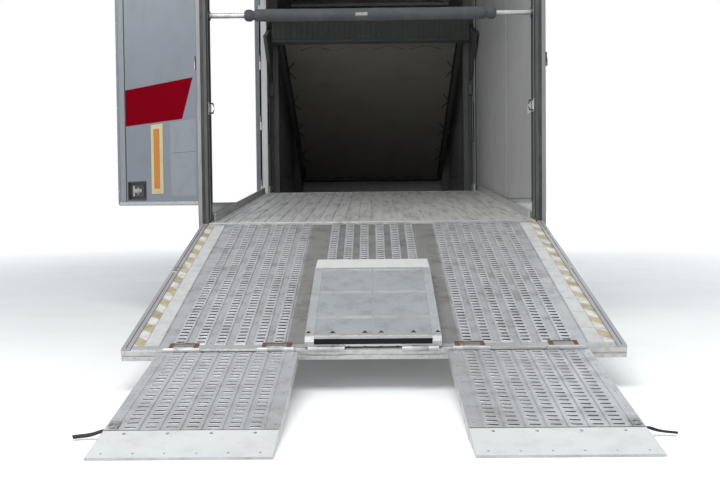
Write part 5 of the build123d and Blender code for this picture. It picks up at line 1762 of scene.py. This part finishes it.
    def lacing(self, axes: Axes) -> bpy.types.Object:
        """V-shaped stitches between eyelets in the cloth's edge and the deck's frame.

        Args:
            axes: the deck's frame.

        Returns:
            The lace and its eyelets as one object.
        """
        s = self.size
        shape = Shape()
        z = s.sheet_top - s.sheet_thick - 0.004
        edge = s.sheet_half - 0.075
        for side in (-1, 1):
            for y in np.arange(0.62, s.sheet_front - s.lace_reach, s.lace_pitch):
                ends = [(side * edge, y + reach, z) for reach in (-s.lace_reach, s.lace_reach)]
                self.stitch(shape, axes, ends, (side * (s.rail_in - 0.006), y, z - 0.003))
        for x in (-0.66, -0.22, 0.22, 0.66):
            ends = [(x + reach, s.sheet_rear + 0.13, z) for reach in (-0.19, 0.19)]
            self.stitch(shape, axes, ends, (x, s.sheet_rear + 0.035, z + 0.002))
            ends = [(x + reach, s.sheet_front - 0.03, z) for reach in (-0.16, 0.16)]
            self.stitch(shape, axes, ends, (x, s.sheet_front + 0.018, z + 0.002))
        return self.make(shape, "Tarpaulin lacing", "upper_deck", "lace cord", "zinc steel")

    def stitch(self, shape: Shape, axes: Axes, ends: list, turn: tuple) -> None:
        """One stitch of the lace, from an eyelet round the frame to the next, with both metal rings.

        Args:
            shape: shape to add to.
            axes: the deck's frame.
            ends: places of both eyelets.
            turn: place where it goes round the frame.
        """
        first, last = (np.array(end) for end in ends)
        middle = np.array(turn)
        lift = np.array((0, 0, 0.006))
        put_tube(shape, axes.out([first + lift, first, first * 0.1 + middle * 0.9, middle,
                                  last * 0.1 + middle * 0.9, last, last + lift]), 0.0055, 8, 0)
        for place in (first, last):
            put_lathe(shape, [(0.0, 0.007), (0.0, 0.014), (0.003, 0.013), (0.003, 0.008)],
                      axes.out(place) - 0.001 * np.array(axes.z), axes.z, 16, 1)


@dataclass(frozen=True)
class TyreSizes:
    """Tyre section and the places of the wheels in truck coordinates."""

    radius: float = 0.4625
    width: float = 0.291
    bead: float = 0.2885
    front: tuple = (1.060, 10.320)
    rear: tuple = (0.725, 1.045, 4.000)


class Wheels(SubAssembly):
    """Tyres with grooves, lugs and raised sidewall rings, and the studs and caps of the rims."""

    size = TyreSizes()

    def build(self) -> None:
        """Builds front wheels and rear twins on both sides."""
        s = self.size
        for side, name in ((-1, "left"), (1, "right")):
            front = Shape()
            self.tyre(front, PLACE.spot((side * s.front[0], s.front[1], s.radius + 0.0005)), ribs=True)
            tyre = self.make(
                front, f"Tyre front {name}", f"wheel_front_{name}", "tyre rubber", "tyre groove", crease=28)
            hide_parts(f"tyre_front_{name}")
            rear = Shape()
            for x in s.rear[:2]:
                self.tyre(rear, PLACE.spot((side * x, s.rear[2], s.radius + 0.0005)), ribs=False)
            twins = self.make(
                rear, f"Tyres rear {name}", f"wheels_rear_{name}", "tyre rubber", "tyre groove", crease=28)
            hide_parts(f"tyres_rear_{name}")
            self.studs(side, name)

    def tyre(self, shape: Shape, centre: Array, ribs: bool) -> None:
        """One closed tyre: grooves in the tread, shoulder lugs and rings on the sidewalls.

        Args:
            shape: shape to add to.
            centre: middle of the wheel in frame coordinates.
            ribs: tread of a steered wheel, else of a driven one.
        """
        s = self.size
        half = s.width / 2
        tread = 0.78 * half
        grooves = (-0.5, -0.17, 0.17, 0.5) if ribs else (-0.42, 0.0, 0.42)
        depth = 0.012
        outline = [(-0.72 * half, s.bead), (-0.79 * half, s.bead + 0.006), (-0.90 * half, s.bead + 0.030),
                   (-0.905 * half, s.bead + 0.034), (-0.955 * half, s.bead + 0.052),
                   (-0.998 * half, s.bead + 0.080), (-half, s.bead + 0.092), (-0.994 * half, s.bead + 0.106),
                   (-0.986 * half, s.bead + 0.108), (-0.96 * half, s.radius - 0.045),
                   (-0.925 * half, s.radius - 0.024), (-0.87 * half, s.radius - 0.008)]
        for g in grooves:
            x = g * tread
            outline += [(x - 0.0065, s.radius - 0.0015 * abs(g)), (x - 0.0045, s.radius - depth),
                        (x + 0.0045, s.radius - depth), (x + 0.0065, s.radius - 0.0015 * abs(g))]
        outline += [(-x, r) for x, r in outline[11::-1]]
        put_lathe(shape, outline, centre, around=112)
        count = 56 if ribs else 44
        length = 2 * math.pi * s.radius / count
        points, faces = slab((0.036, length * (0.62 if ribs else 0.5), 0.014), 0.003)
        lugs = []
        for n in range(count):
            for side in (-1, 1):
                a = 2 * math.pi * (n + 0.25 * side) / count
                local = points + np.array((0, 0, s.radius - 0.0125))
                x = local[:, 0] + side * 0.865 * half + (local[:, 1] * 0.25 * side)
                drop = np.where(side * local[:, 0] > 0.01, -0.0065, 0.0)
                r = local[:, 2] + drop
                lugs.append(np.stack((x, r * math.sin(a) + local[:, 1] * math.cos(a),
                                      r * math.cos(a) - local[:, 1] * math.sin(a)), 1) + centre)
        shape.copies(points, faces, np.array(lugs), 0)

    def studs(self, side: int, name: str) -> None:
        """Ten studs with nuts on each disc, a hub cap and the hub's flange.

        Args:
            side: -1 left, 1 right.
            name: left or right.
        """
        s = self.size
        for x, y, body, rear in ((s.front[0] + 0.084, s.front[1], f"wheel_front_{name}", False),
                                 (s.rear[1] - 0.146, s.rear[2], f"wheels_rear_{name}", True)):
            shape = Shape()
            axis = (float(side), 0.0, 0.0)
            base = PLACE.spot((side * x, y, s.radius + 0.0005))
            for n in range(10):
                a = 2 * math.pi * (n + 0.5) / 10
                spot = base + np.array((0, 0.140 * math.cos(a), 0.140 * math.sin(a)))
                put_lathe(shape, [(0, 0.0), (0, 0.019), (0.004, 0.019), (0.006, 0.016), (0.024, 0.015),
                                  (0.026, 0.011), (0.034, 0.010), (0.036, 0.0)], spot, axis, 12, 0)
            if rear:
                put_lathe(shape, [(-0.02, 0.0), (-0.02, 0.108), (0.03, 0.108), (0.10, 0.098), (0.165, 0.090),
                                  (0.185, 0.080), (0.187, 0.0)], base, axis, 40, 1)
                for n in range(8):
                    a = 2 * math.pi * n / 8
                    put = base + np.array((side * 0.184, 0.062 * math.cos(a), 0.062 * math.sin(a)))
                    put_lathe(shape, [(0, 0.0), (0, 0.010), (0.008, 0.009), (0.009, 0.0)], put, axis, 10, 0)
            else:
                put_lathe(shape, [(0.0, 0.0), (0.0, 0.096), (0.02, 0.094), (0.052, 0.070), (0.058, 0.060),
                                  (0.060, 0.0)], base, axis, 40, 1)
            self.make(shape, f"Hub {body}", body, "zinc steel", "rim paint")


class BodyOutside(SubAssembly):
    """Stripe, panel joints, rails, rivets and side lamps of the load body, and its front wall's seams."""

    def build(self) -> None:
        """Builds both sides and the front wall's seams."""
        t = self.truck
        shape = Shape()
        for side in (-1, 1):
            put_slabs(shape, t, (
                ((1.2545, 1.2558), (4.262, 9.14), (1.577, 1.882), 0.0004, 0),
                ((1.254, 1.259), (0.19, 9.19), (3.905, 3.935), 0.002, 1),
                ((1.254, 1.259), (0.19, 9.19), (3.305, 3.332), 0.002, 1),
                ((1.254, 1.260), (4.262, 9.19), (0.855, 0.890), 0.002, 1),
                ((1.254, 1.258), (4.64, 9.19), (0.702, 0.722), 0.001, 1),
                ((1.254, 1.259), (4.200, 4.255), (0.90, 3.30), 0.002, 1),
                ((1.254, 1.259), (9.145, 9.197), (0.705, 3.93), 0.002, 1),
            ), side)
            for y in np.arange(5.24, 9.1, 0.975):
                put_slab(shape, t, across(side, 1.2548, 1.2562), about(y, 0.0015), (0.892, 3.303), 0.0004, 2)
            for y in np.arange(1.16, 9.1, 0.975):
                put_slab(shape, t, across(side, 1.2548, 1.2562), about(y, 0.0015), (3.334, 3.904), 0.0004, 2)
            for y in np.arange(0.3, 9.15, 0.12):
                put_slab(
                    shape, t, across(side, 1.2588, 1.2608), about(y, 0.005), about(3.92, 0.005), 0.0015, 1)
            for y in (0.9, 2.7, 5.0, 6.4, 7.8, 9.0):
                put_slabs(shape, t, (
                    ((1.2545, 1.268), about(y, 0.055), (0.792, 0.836), 0.004, 3),
                    ((1.267, 1.273), about(y, 0.045), (0.799, 0.829), 0.003, 4),
                ), side)
            for y in (2.2, 5.6, 8.6):
                put_slab(shape, t, across(side, 1.2545, 1.266), about(y, 0.04), (3.86, 3.888), 0.004, 4)
        for x in np.arange(-0.9, 0.95, 0.6):
            put_slab(shape, t, about(x, 0.0015), (9.1992, 9.2006), (0.92, 3.93), 0.0004, 2)
        self.make(shape, "Body outer trim", "chassis", "stripe red", "rail aluminium", "seam dark",
                  "black plastic", "lamp amber")


class RearLamps(SubAssembly):
    """Lenses, frames and back boxes of the rear lamp clusters."""

    def build(self) -> None:
        """Builds both clusters on the lamp bodies."""
        t = self.truck
        shape = Shape()
        face = node_box("rear_lamps")[0][1]
        for side in (-1, 1):
            for low, high, slot in (
                    (0.765, 0.825, 0), (0.829, 0.905, 0), (0.909, 0.985, 1), (0.989, 1.075, 2)):
                put_slab(shape, t, across(side, low, high), (face - 0.010, face + 0.002),
                         (0.448, 0.532), 0.006, slot)
            for z in (0.436, 0.538):
                put_slab(shape, t, across(side, 0.757, 1.083), (face - 0.014, face + 0.01),
                         (z, z + 0.006), 0.002, 3)
            put_slab(shape, t, across(side, 0.80, 1.04), (face + 0.028, face + 0.06), (0.47, 0.52), 0.004, 3)
        self.make(
            shape, "Rear lamp lenses", "chassis", "lamp red", "lamp amber", "lamp clear", "black plastic")


def cushion(shape: Shape, low, high, power: float = 0.45, slot: int = 0, piping: bool = True) -> None:
    """Closed soft block between two corners: a sphere's directions with each axis raised to a power.

    Args:
        shape: shape to add to.
        low: low corner in truck coordinates.
        high: high corner in truck coordinates.
        power: 1 gives an ellipsoid, small values a box with round edges.
        slot: material slot.
        piping: draws a seam groove round the middle.
    """
    rows, around = 25, 40
    v = np.linspace(-math.pi / 2, math.pi / 2, rows)[1:-1]
    u = np.arange(around) * 2 * math.pi / around

    def soft(value: Array) -> Array:
        """Signed power."""
        return np.sign(value) * np.abs(value) ** power

    middle, half = (np.array(low) + np.array(high)) / 2, (np.array(high) - np.array(low)) / 2
    ring = np.stack(
        (soft(np.cos(v))[:, None] * soft(np.cos(u))[None], soft(np.cos(v))[:, None] * soft(np.sin(u))[None],
         np.broadcast_to(soft(np.sin(v))[:, None], (rows - 2, around))), 2)
    if piping:
        ring *= (1 - 0.02 * np.exp(-(v / 0.12) ** 2))[:, None, None]
    points = np.concatenate((ring.reshape(-1, 3), [[0, 0, -1], [0, 0, 1]])) * half + middle
    quads = grid_quads(rows - 2, around)
    first = np.arange(around)
    after = (first + 1) % around
    top = (rows - 3) * around
    low_fan = np.stack((np.full(around, len(points) - 2), after, first), 1)
    high_fan = np.stack((np.full(around, len(points) - 1), first + top, after + top), 1)
    shape.add(PLACE.spot(points), [quads, np.concatenate((low_fan, high_fan))], slot)


@dataclass(frozen=True)
class CabSizes:
    """Cab limits in truck coordinates."""

    half: float = 1.240
    front: float = 11.680
    roof: float = 3.050
    screen_low: tuple = (11.640, 1.850)
    screen_high: tuple = (11.350, 2.850)
    screen_half: float = 1.080
    window: tuple = ((10.330, 2.010), (11.230, 1.900), (11.230, 2.240), (11.130, 2.800), (10.330, 2.800))
    axle: tuple = (10.320, 0.463)
    arch: float = 0.605


class Cab(SubAssembly):
    """Seals, wipers, visor, lamps, grille slats, steps, mirrors' glass and the seats of the cab."""

    size = CabSizes()

    def build(self) -> None:
        """Builds the outside, the doors, the mirrors and the inside."""
        self.front()
        self.sides()
        self.seats()
        self.inside()

    def screen_axes(self) -> Axes:
        """Frame on the windscreen's middle: x across, y up the glass, z outwards."""
        s = self.size
        (y0, z0), (y1, z1) = s.screen_low, s.screen_high
        run = np.array((0, y1 - y0, z1 - z0))
        run /= np.linalg.norm(run)
        out = np.array((0, run[2], -run[1]))
        return Axes(tuple(PLACE.spot((0, (y0 + y1) / 2, (z0 + z1) / 2))), (1, 0, 0), tuple(run), tuple(out))

    def front(self) -> None:
        """Windscreen seal, wipers, visor, grille, blank plate, lamps and bumper parts."""
        s = self.size
        t = self.truck
        screen = self.screen_axes()
        shape = Shape()
        corner = 0.08
        w, h = s.screen_half, 0.475
        angle = np.linspace(0, math.pi / 2, 7)
        quarter = [(w - corner, h - corner, 0), (-w + corner, h - corner, 90),
                   (-w + corner, -h + corner, 180), (w - corner, -h + corner, 270)]
        ring = np.array(
            [(cx + corner * math.cos(a + math.radians(d)), cy + corner * math.sin(a + math.radians(d)), 0.002)
             for cx, cy, d in quarter for a in angle])
        ring = np.concatenate((ring, ring[:2]))
        profile = np.array([(-0.014, -0.004), (0.014, -0.004), (0.012, 0.006), (-0.012, 0.006)])
        points, faces = carried(screen.out(ring), profile, screen.z, caps=False)
        shape.add(points, faces, 0)
        for start, tip in ((-0.95, -0.15), (0.05, 0.88)):
            put_tube(shape, screen.out([(start, -h - 0.02, 0.018), ((start + tip) / 2, -h + 0.03, 0.03),
                                        (tip, -h + 0.05, 0.02)]), 0.007, 8, 0, screen.z)
            put_slab(
                shape, screen, (start + 0.12, tip + 0.22), (-h + 0.042, -h + 0.052), (0.006, 0.026), 0.002, 0)
            put_lathe(shape, [(0, 0.0), (0, 0.022), (0.03, 0.018), (0.032, 0.0)],
                      screen.out((start, -h - 0.02, 0)), screen.z, 16, 0)
        self.visor(shape)
        for x in (-0.55, 0.0, 0.55):
            put_slab(shape, t, about(x, 0.012), (s.screen_high[0], s.screen_high[0] + 0.06),
                     (s.screen_high[1] + 0.04, s.screen_high[1] + 0.078), 0.003, 0)
        for row in range(5):
            z = 1.241 + 0.105 * row
            put_slabs(shape, t, (
                ((-0.636, 0.636), (s.front + 0.006, s.front + 0.024), about(z, 0.006), 0.003, 2),
                ((-0.66, 0.66), (s.front + 0.020, s.front + 0.026), (z + 0.034, z + 0.042), 0.002, 3),
            ))
        for x in (-0.45, -0.15, 0.15, 0.45):
            put_slab(shape, t, about(x, 0.004), (s.front + 0.003, s.front + 0.008), (1.22, 1.70), 0.001, 2)
        put_slabs(shape, t, (
            ((-0.27, 0.27), (s.front + 0.036, s.front + 0.0408), (0.43, 0.55), 0.001, 2),
            ((-0.26, 0.26), (s.front + 0.040, s.front + 0.0414), (0.437, 0.543), 0.0005, 4),
        ))
        for side in (-1, 1):
            for x in (0.84, 0.98):
                put_lathe(shape, [(-0.050, 0.010), (-0.046, 0.020), (-0.022, 0.040), (0.008, 0.052),
                                  (0.008, 0.054), (-0.024, 0.043), (-0.050, 0.024)],
                          PLACE.spot((side * x, s.front, 0.730)), (0.0, 1.0, 0.0), 32, 5)
            put_slabs(shape, t, (
                ((0.764, 1.056), (s.front - 0.029, s.front - 0.024), (0.645, 0.815), 0.002, 5),
                ((1.063, 1.125), (s.front - 0.06, s.front + 0.020), (0.66, 0.80), 0.006, 6),
                ((0.62, 0.72), (s.front + 0.030, s.front + 0.0418), (0.50, 0.57), 0.0015, 7),
                ((0.74, 0.745), (s.front + 0.039, s.front + 0.0406), (0.33, 1.05), 0.0005, 8),
            ), side)
            for x in (0.72, 0.98):
                put_slab(shape, t, across(side, x - 0.05, x + 0.05), (s.front - 0.795, s.front - 0.745),
                         (s.roof - 0.002, s.roof + 0.022), 0.006, 6)
        put_slabs(shape, t, (
            ((-1.05, 1.05), (s.front, s.front + 0.0025), (1.775, 1.781), 0.0008, 8),
            ((-1.05, 1.05), (s.front - 0.004, s.front + 0.0025), (1.108, 1.113), 0.0008, 8),
        ))
        self.make(shape, "Cab front trim", "chassis", "seal rubber", "visor", "black plastic",
                  "rail aluminium", "tip white", "reflector", "lamp amber", "lamp clear", "seam dark")

    def visor(self, shape: Shape) -> None:
        """Sun visor: a bent outline in the y-z plane, carried across and drawn back at its ends.

        Args:
            shape: shape to add to.
        """
        s = self.size
        stations, half = 25, 1.06
        share = np.arange(9) / 8
        forward = s.screen_high[0] + 0.02 + 0.17 * share
        upper = np.stack((0 * share, forward, s.screen_high[1] + 0.085 - 0.03 * share - 0.09 * share ** 2), 1)
        outline = np.concatenate((upper, upper[::-1] - np.array((0, 0, 0.006))))
        x = np.linspace(-half, half, stations)
        moves = np.stack((x, -0.10 * np.abs(x / half) ** 4, 0 * x), 1)
        k = len(outline)
        ends = np.stack((np.arange(k), np.arange(k)[::-1] + (stations - 1) * k))
        shape.add(
            PLACE.spot(moves[:, None] + outline[None]).reshape(-1, 3), [grid_quads(stations, k), ends], 1)

    def sides(self) -> None:
        """Window seals, door parts, mirror glass, arch lips, steps and grab handles on both sides."""
        s = self.size
        t = self.truck
        trim = Shape()
        for side, name in ((-1, "left"), (1, "right")):
            door = Shape()
            path = np.array([(side * (s.half + 0.001), y, z) for y, z in s.window])
            seal = np.array([(-0.013, -0.003), (0.013, -0.003), (0.011, 0.004), (-0.011, 0.004)])
            points, faces = carried(PLACE.spot(rounded(path, 0.05)), seal, (float(side), 0, 0), caps=False)
            door.add(points, faces, 0)
            put_slabs(door, t, (
                ((s.half - 0.026, s.half - 0.018), (10.62, 10.632), (1.98, 2.80), 0.002, 0),
                ((s.half - 0.001, s.half + 0.004), (10.286, 10.434), (1.746, 1.842), 0.003, 1),
                ((s.half + 0.003, s.half + 0.014), (10.294, 10.426), (1.782, 1.806), 0.004, 2),
            ), side)
            put_lathe(door, [(0, 0.0), (0, 0.010), (0.004, 0.009), (0.005, 0.0)],
                      PLACE.spot((side * (s.half + 0.002), 10.36, 1.74)), (float(side), 0, 0), 16, 3)
            for z in (1.56, 1.30):
                put_slab(door, t, across(side, s.half - 0.001, s.half + 0.0022), (10.26, 11.28),
                         (z, z + 0.004), 0.0008, 4)
            put_slabs(door, t, (
                ((s.half - 0.045, s.half - 0.039), (10.30, 11.20), (1.22, 1.86), 0.003, 5),
                ((s.half - 0.075, s.half - 0.040), (10.42, 11.05), (1.60, 1.66), 0.010, 5),
            ), side)
            glass_y = 11.1765
            put_slabs(door, t, (
                ((1.330, 1.470), (glass_y, glass_y + 0.004), (1.936, 2.270), 0.002, 6),
                ((1.330, 1.470), (glass_y, glass_y + 0.004), (2.282, 2.444), 0.002, 6),
                ((1.326, 1.474), (glass_y - 0.002, glass_y + 0.004), (2.272, 2.280), 0.002, 1),
                ((1.36, 1.44), (11.268, 11.276), (2.05, 2.33), 0.004, 1),
            ), side)
            self.make(door, f"Cab door trim {name}", f"cab_door_{name}", "seal rubber", "black plastic",
                      "cab trim", "zinc steel", "seam dark", "cab trim", "reflector")
            angle = np.linspace(math.radians(14), math.radians(166), 33)
            arc = np.array([(side * (s.half - 0.01), s.axle[0] + (s.arch + 0.018) * math.cos(a),
                             s.axle[1] + (s.arch + 0.018) * math.sin(a)) for a in angle])
            lip = np.array([(-0.022, -0.012), (0.022, -0.012), (0.018, 0.018), (-0.018, 0.018)])
            points, faces = carried(PLACE.spot(arc), lip, (float(side), 0, 0))
            trim.add(points, faces, 1)
            for low in (0.432, 0.722):
                put_slab(trim, t, across(side, 1.075, 1.232), (11.03, 11.32), (low, low + 0.012), 0.003, 3)
                for y in np.arange(11.05, 11.31, 0.03):
                    put_slab(trim, t, across(side, 1.085, 1.225), (y, y + 0.010),
                             (low + 0.010, low + 0.0165), 0.002, 3)
            put_slabs(trim, t, (
                ((s.half - 0.001, s.half + 0.012), (11.42, 11.50), (1.20, 1.25), 0.005, 6),
                ((s.half - 0.001, s.half + 0.0022), (9.47, 10.20), (2.02, 2.024), 0.0008, 4),
                ((s.half - 0.001, s.half + 0.0022), (9.47, 10.20), (1.30, 1.304), 0.0008, 4),
                ((s.half - 0.001, s.half + 0.010), (9.62, 10.05), (1.36, 1.56), 0.006, 1),
            ), side)
            for z in np.arange(1.38, 1.55, 0.03):
                put_slab(trim, t, across(side, s.half + 0.008, s.half + 0.014), (9.64, 10.03),
                         (z, z + 0.012), 0.003, 2)
            put_tube(trim, PLACE.spot([(side * s.half, 10.215, 1.42), (side * (s.half + 0.045), 10.205, 1.45),
                                       (side * (s.half + 0.05), 10.205, 1.80),
                                       (side * (s.half + 0.045), 10.205, 2.15),
                                       (side * s.half, 10.215, 2.18)]), 0.011, 10, 1)
        self.make(trim, "Cab side trim", "chassis", "seal rubber", "black plastic", "cab trim",
                  "rail aluminium", "seam dark", "cab trim", "lamp amber")

    def seats(self) -> None:
        """Soft cushions, backs, headrests and a bunk in place of the plain blocks."""
        floor = 1.125
        shape = Shape()
        for side in (-1, 1):
            x = across(side, 0.462, 0.958)
            cushion(shape, (x[0], 9.962, floor + 0.27), (x[1], 10.468, floor + 0.398), 0.35)
            cushion(shape, (x[0], 9.872, floor + 0.335), (x[1], 9.988, floor + 1.048), 0.35)
            head = across(side, 0.572, 0.848)
            cushion(shape, (head[0], 9.884, floor + 1.056), (head[1], 9.976, floor + 1.218), 0.45)
            base = across(side, 0.522, 0.898)
            cushion(shape, (base[0], 10.002, floor + 0.002), (base[1], 10.398, floor + 0.285), 0.12, 1, False)
            for dx in (-0.05, 0.05):
                put_tube(shape, PLACE.spot([(side * 0.71 + dx, 9.93, floor + 0.98),
                                            (side * 0.71 + dx, 9.93, floor + 1.10)]), 0.007, 8, 2, (0, 1, 0))
        cushion(shape, (-1.095, 9.470, 1.602), (1.095, 9.858, 1.738), 0.2)
        seats = self.make(shape, "Cab seats", "chassis", "seat cloth", "cab trim", "zinc steel", crease=60)
        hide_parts("cab_seats")

    def inside(self) -> None:
        """Instruments, switches and vents of the dashboard, and the steering wheel's grip and hub."""
        shape = Shape()
        slope = Axes(
            tuple(PLACE.spot((0, 11.17, 1.59))), (1, 0, 0), (0, 0.1786, 0.9839), (0, -0.9839, 0.1786))
        put_slab(shape, slope, (-0.93, -0.47), (-0.02, 0.095), (-0.006, 0.012), 0.006, 0)
        for x, r in ((-0.80, 0.045), (-0.60, 0.045), (-0.70, 0.028)):
            put_lathe(shape, [(0, 0.0), (0, r), (0.004, r), (0.006, r - 0.004), (0.003, r - 0.006),
                              (0.003, 0.0)], slope.out((x, 0.04, 0.012)), slope.z, 32, 2)
        put_slab(shape, slope, (-0.20, 0.20), (-0.09, 0.09), (-0.004, 0.008), 0.004, 0)
        for x in (-0.15, -0.05, 0.05, 0.15):
            for y in (-0.06, -0.02):
                put_slab(shape, slope, about(x, 0.018), about(y, 0.012), (0.006, 0.013), 0.003, 1)
        for x in (-1.05, -0.33, 0.33, 1.05):
            for n in range(5):
                y = 0.02 + 0.014 * n
                put_slab(shape, slope, about(x, 0.07), (y, y + 0.006), (-0.002, 0.006), 0.002, 1)
        tilt = math.radians(60)
        wheel = (0.0, math.sin(tilt), -math.cos(tilt))
        ring = [(0.022 * math.cos(a), 0.221 + 0.022 * math.sin(a)) for a in np.linspace(0, 2 * math.pi, 13)]
        put_lathe(shape, ring, PLACE.spot((-0.700, 11.020, 1.780)), wheel, 48, 1)
        put_lathe(shape, [(-0.024, 0.0), (-0.024, 0.055), (-0.016, 0.064), (0.016, 0.064)],
                  PLACE.spot((-0.700, 11.020, 1.780)), wheel, 32, 0)
        self.make(shape, "Dashboard details", "chassis", "cab trim", "black plastic", "zinc steel")


class Chassis(SubAssembly):
    """Frame bolts, tank cap, catches and lid seam of the battery box, and spring clamps."""

    def build(self) -> None:
        """Builds details on the frame, tank, battery box and front springs."""
        t = self.truck
        shape = Shape()
        for side in (-1, 1):
            outward_axes = Axes(tuple(PLACE.spot((side * 0.385, 0, 0))), (0.0, 1.0, 0.0),
                                (0.0, 0.0, float(side)), (float(side), 0.0, 0.0))
            places = [(y, side * z, 0.0) for y in np.arange(0.6, 11.0, 0.3) for z in (0.74, 0.84)]
            put_domes(shape, outward_axes, places, 0.012, 0.009, 0)
        low, high = node_box("fuel_tank")
        cap = (low[0] * 0.35 + high[0] * 0.65, (low[1] + high[1]) / 2 + 0.25, min(high[2], 0.70) - 0.002)
        outline = [(0, 0.0), (0, 0.05), (0.03, 0.048), (0.034, 0.04), (0.034, 0.0)]
        put_lathe(shape, outline, PLACE.spot(cap), (0, 0, 1.0), 28, 1)
        low, high = node_box("battery_box")
        for share in (0.3, 0.7):
            y = low[1] + (high[1] - low[1]) * share
            put_slab(shape, t, (low[0] - 0.012, low[0] + 0.004), about(y, 0.015),
                     (low[2] + 0.16, low[2] + 0.26), 0.004, 0)
        put_slab(shape, t, (low[0] - 0.003, low[0] + 0.002), (low[1] + 0.01, high[1] - 0.01),
                 (low[2] + 0.215, low[2] + 0.219), 0.001, 2)
        for side in (-1, 1):
            for y in (10.12, 10.52):
                for x in (0.34, 0.43):
                    put_tube(
                        shape, PLACE.spot([(side * x, y, 0.52), (side * x, y, 0.72)]), 0.009, 8, 0, (0, 1, 0))
        self.make(shape, "Chassis fittings", "chassis", "zinc steel", "black plastic", "seam dark")


# Studio and camera

def placed(name: str, data: bpy.types.ID, place, axes: tuple) -> bpy.types.Object:
    """Camera or lamp at a place in truck coordinates.

    Args:
        name: the object's name.
        data: camera or light data.
        place: its place.
        axes: its x, y and z directions; it looks along -z.

    Returns:
        The new object.
    """
    piece = bpy.data.objects.new(name, data)
    bpy.context.scene.collection.objects.link(piece)
    matrix = np.eye(4)
    matrix[:3] = np.column_stack((*axes, PLACE.spot(place)))
    piece.matrix_world = Matrix(matrix.tolist())
    return piece


@dataclass(frozen=True)
class PhotoCamera:
    """The photographer's place and aim in truck coordinates, and a 50 mm lens on 36 mm."""

    place: tuple = (0.0, -7.34, 0.93)
    yaw: float = 0.70
    pitch: float = -2.27
    roll: float = -0.58
    lens: float = 50.0
    sensor: float = 36.0
    sight: float = 200.0

    def build(self) -> None:
        """Sets the scene's camera: it looks forward, turned left by the yaw and down by the pitch."""
        yaw, pitch, roll = (math.radians(v) for v in (self.yaw, self.pitch, self.roll))
        ahead = np.array((-math.sin(yaw) * math.cos(pitch), math.cos(yaw) * math.cos(pitch), math.sin(pitch)))
        right = np.cross(ahead, UP)
        right /= np.linalg.norm(right)
        top = np.cross(right, ahead)
        level = right * math.cos(roll) + top * math.sin(roll)
        top = top * math.cos(roll) - right * math.sin(roll)
        data = bpy.data.cameras.new("Photo camera")
        data.lens = self.lens
        data.sensor_width = self.sensor
        data.clip_end = self.sight
        bpy.context.scene.camera = placed("Photo camera", data, self.place, (level, top, -ahead))


class Studio(SubAssembly):
    """Pale floor, even sky and soft lamps."""

    def build(self) -> None:
        """Builds the floor, the world and the lamps."""
        size, level = 60.0, -0.001
        mesh = bpy.data.meshes.new("Studio floor")
        corners = [(x * size, y * size, level) for x, y in ((-1, -1), (1, -1), (1, 1), (-1, 1))]
        mesh.from_pydata(corners, [], [(0, 1, 2, 3)])
        floor = bpy.data.objects.new("Studio floor", mesh)
        bpy.context.scene.collection.objects.link(floor)
        mesh.materials.append(self.finishes.all["studio floor"])
        lamps = [self.lamp("Ramp softbox", (-1.5, -4.5, 8.0), (0.0, -1.2, 0.5), 6.0, 560),
                 self.lamp("Rear fill", (-2.5, -12.5, 3.2), (0.0, 1.0, 1.7), 5.0, 230),
                 self.lamp("Right softbox", (9.0, 4.0, 7.5), (0.0, 5.0, 1.4), 7.0, 480),
                 self.lamp("Left softbox", (-10.0, 6.0, 7.5), (0.0, 6.0, 1.4), 7.0, 360),
                 self.lamp("Front softbox", (3.0, 19.0, 6.0), (0.0, 11.0, 1.5), 7.0, 420)]
        self.world()
        bpy.context.scene.view_settings.view_transform = "Standard"

    def lamp(self, name: str, place, aim, size: float, power: float) -> bpy.types.Object:
        """Square area lamp at a place that looks at a point, both in truck coordinates.

        Args:
            name: name of the lamp.
            place: its place.
            aim: the point it looks at.
            size: side of the square.
            power: power in watts.

        Returns:
            The lamp.
        """
        data = bpy.data.lights.new(name, "AREA")
        data.size = size
        data.energy = power
        back = np.subtract(place, aim).astype(float)
        back /= np.linalg.norm(back)
        right = np.cross(UP, back)
        right /= np.linalg.norm(right)
        return placed(name, data, place, (right, np.cross(back, right), back))

    def world(self) -> None:
        """Even light from the sky, pure white where the camera sees it directly or through glass."""
        world = bpy.data.worlds.new("Studio world")
        bpy.context.scene.world = world
        tree = empty_tree(world)
        path = tree.put("LightPath")
        seen = tree.maths("MAXIMUM", path.outputs["Is Camera Ray"], path.outputs["Is Transmission Ray"])
        soft = tree.put("Background", {"Color": colour((0.86, 0.93, 1.0)), "Strength": 0.5})
        white = tree.put("Background", {"Color": colour(1.0), "Strength": 1.0})
        both = tree.put("MixShader", {0: seen, 1: soft.outputs[0], 2: white.outputs[0]})
        tree.put("OutputWorld", {0: both.outputs[0]})


def main() -> None:
    """Builds every sub-assembly in order, then the studio and the camera."""
    logging.basicConfig(level=logging.INFO, format="%(name)s: %(message)s")
    finishes = Finishes()
    dress_nodes(finishes)
    for part in (Ramp, Flaps, Straps, SideLeaves, Portal, BarPadding, LoadSpace, Deck, Wheels, BodyOutside,
                 RearLamps, Cab, Chassis, Studio):
        LOG.info("building %s", part.__name__)
        part(finishes).build()
    PhotoCamera().build()


if __name__ == "__main__":
    main()
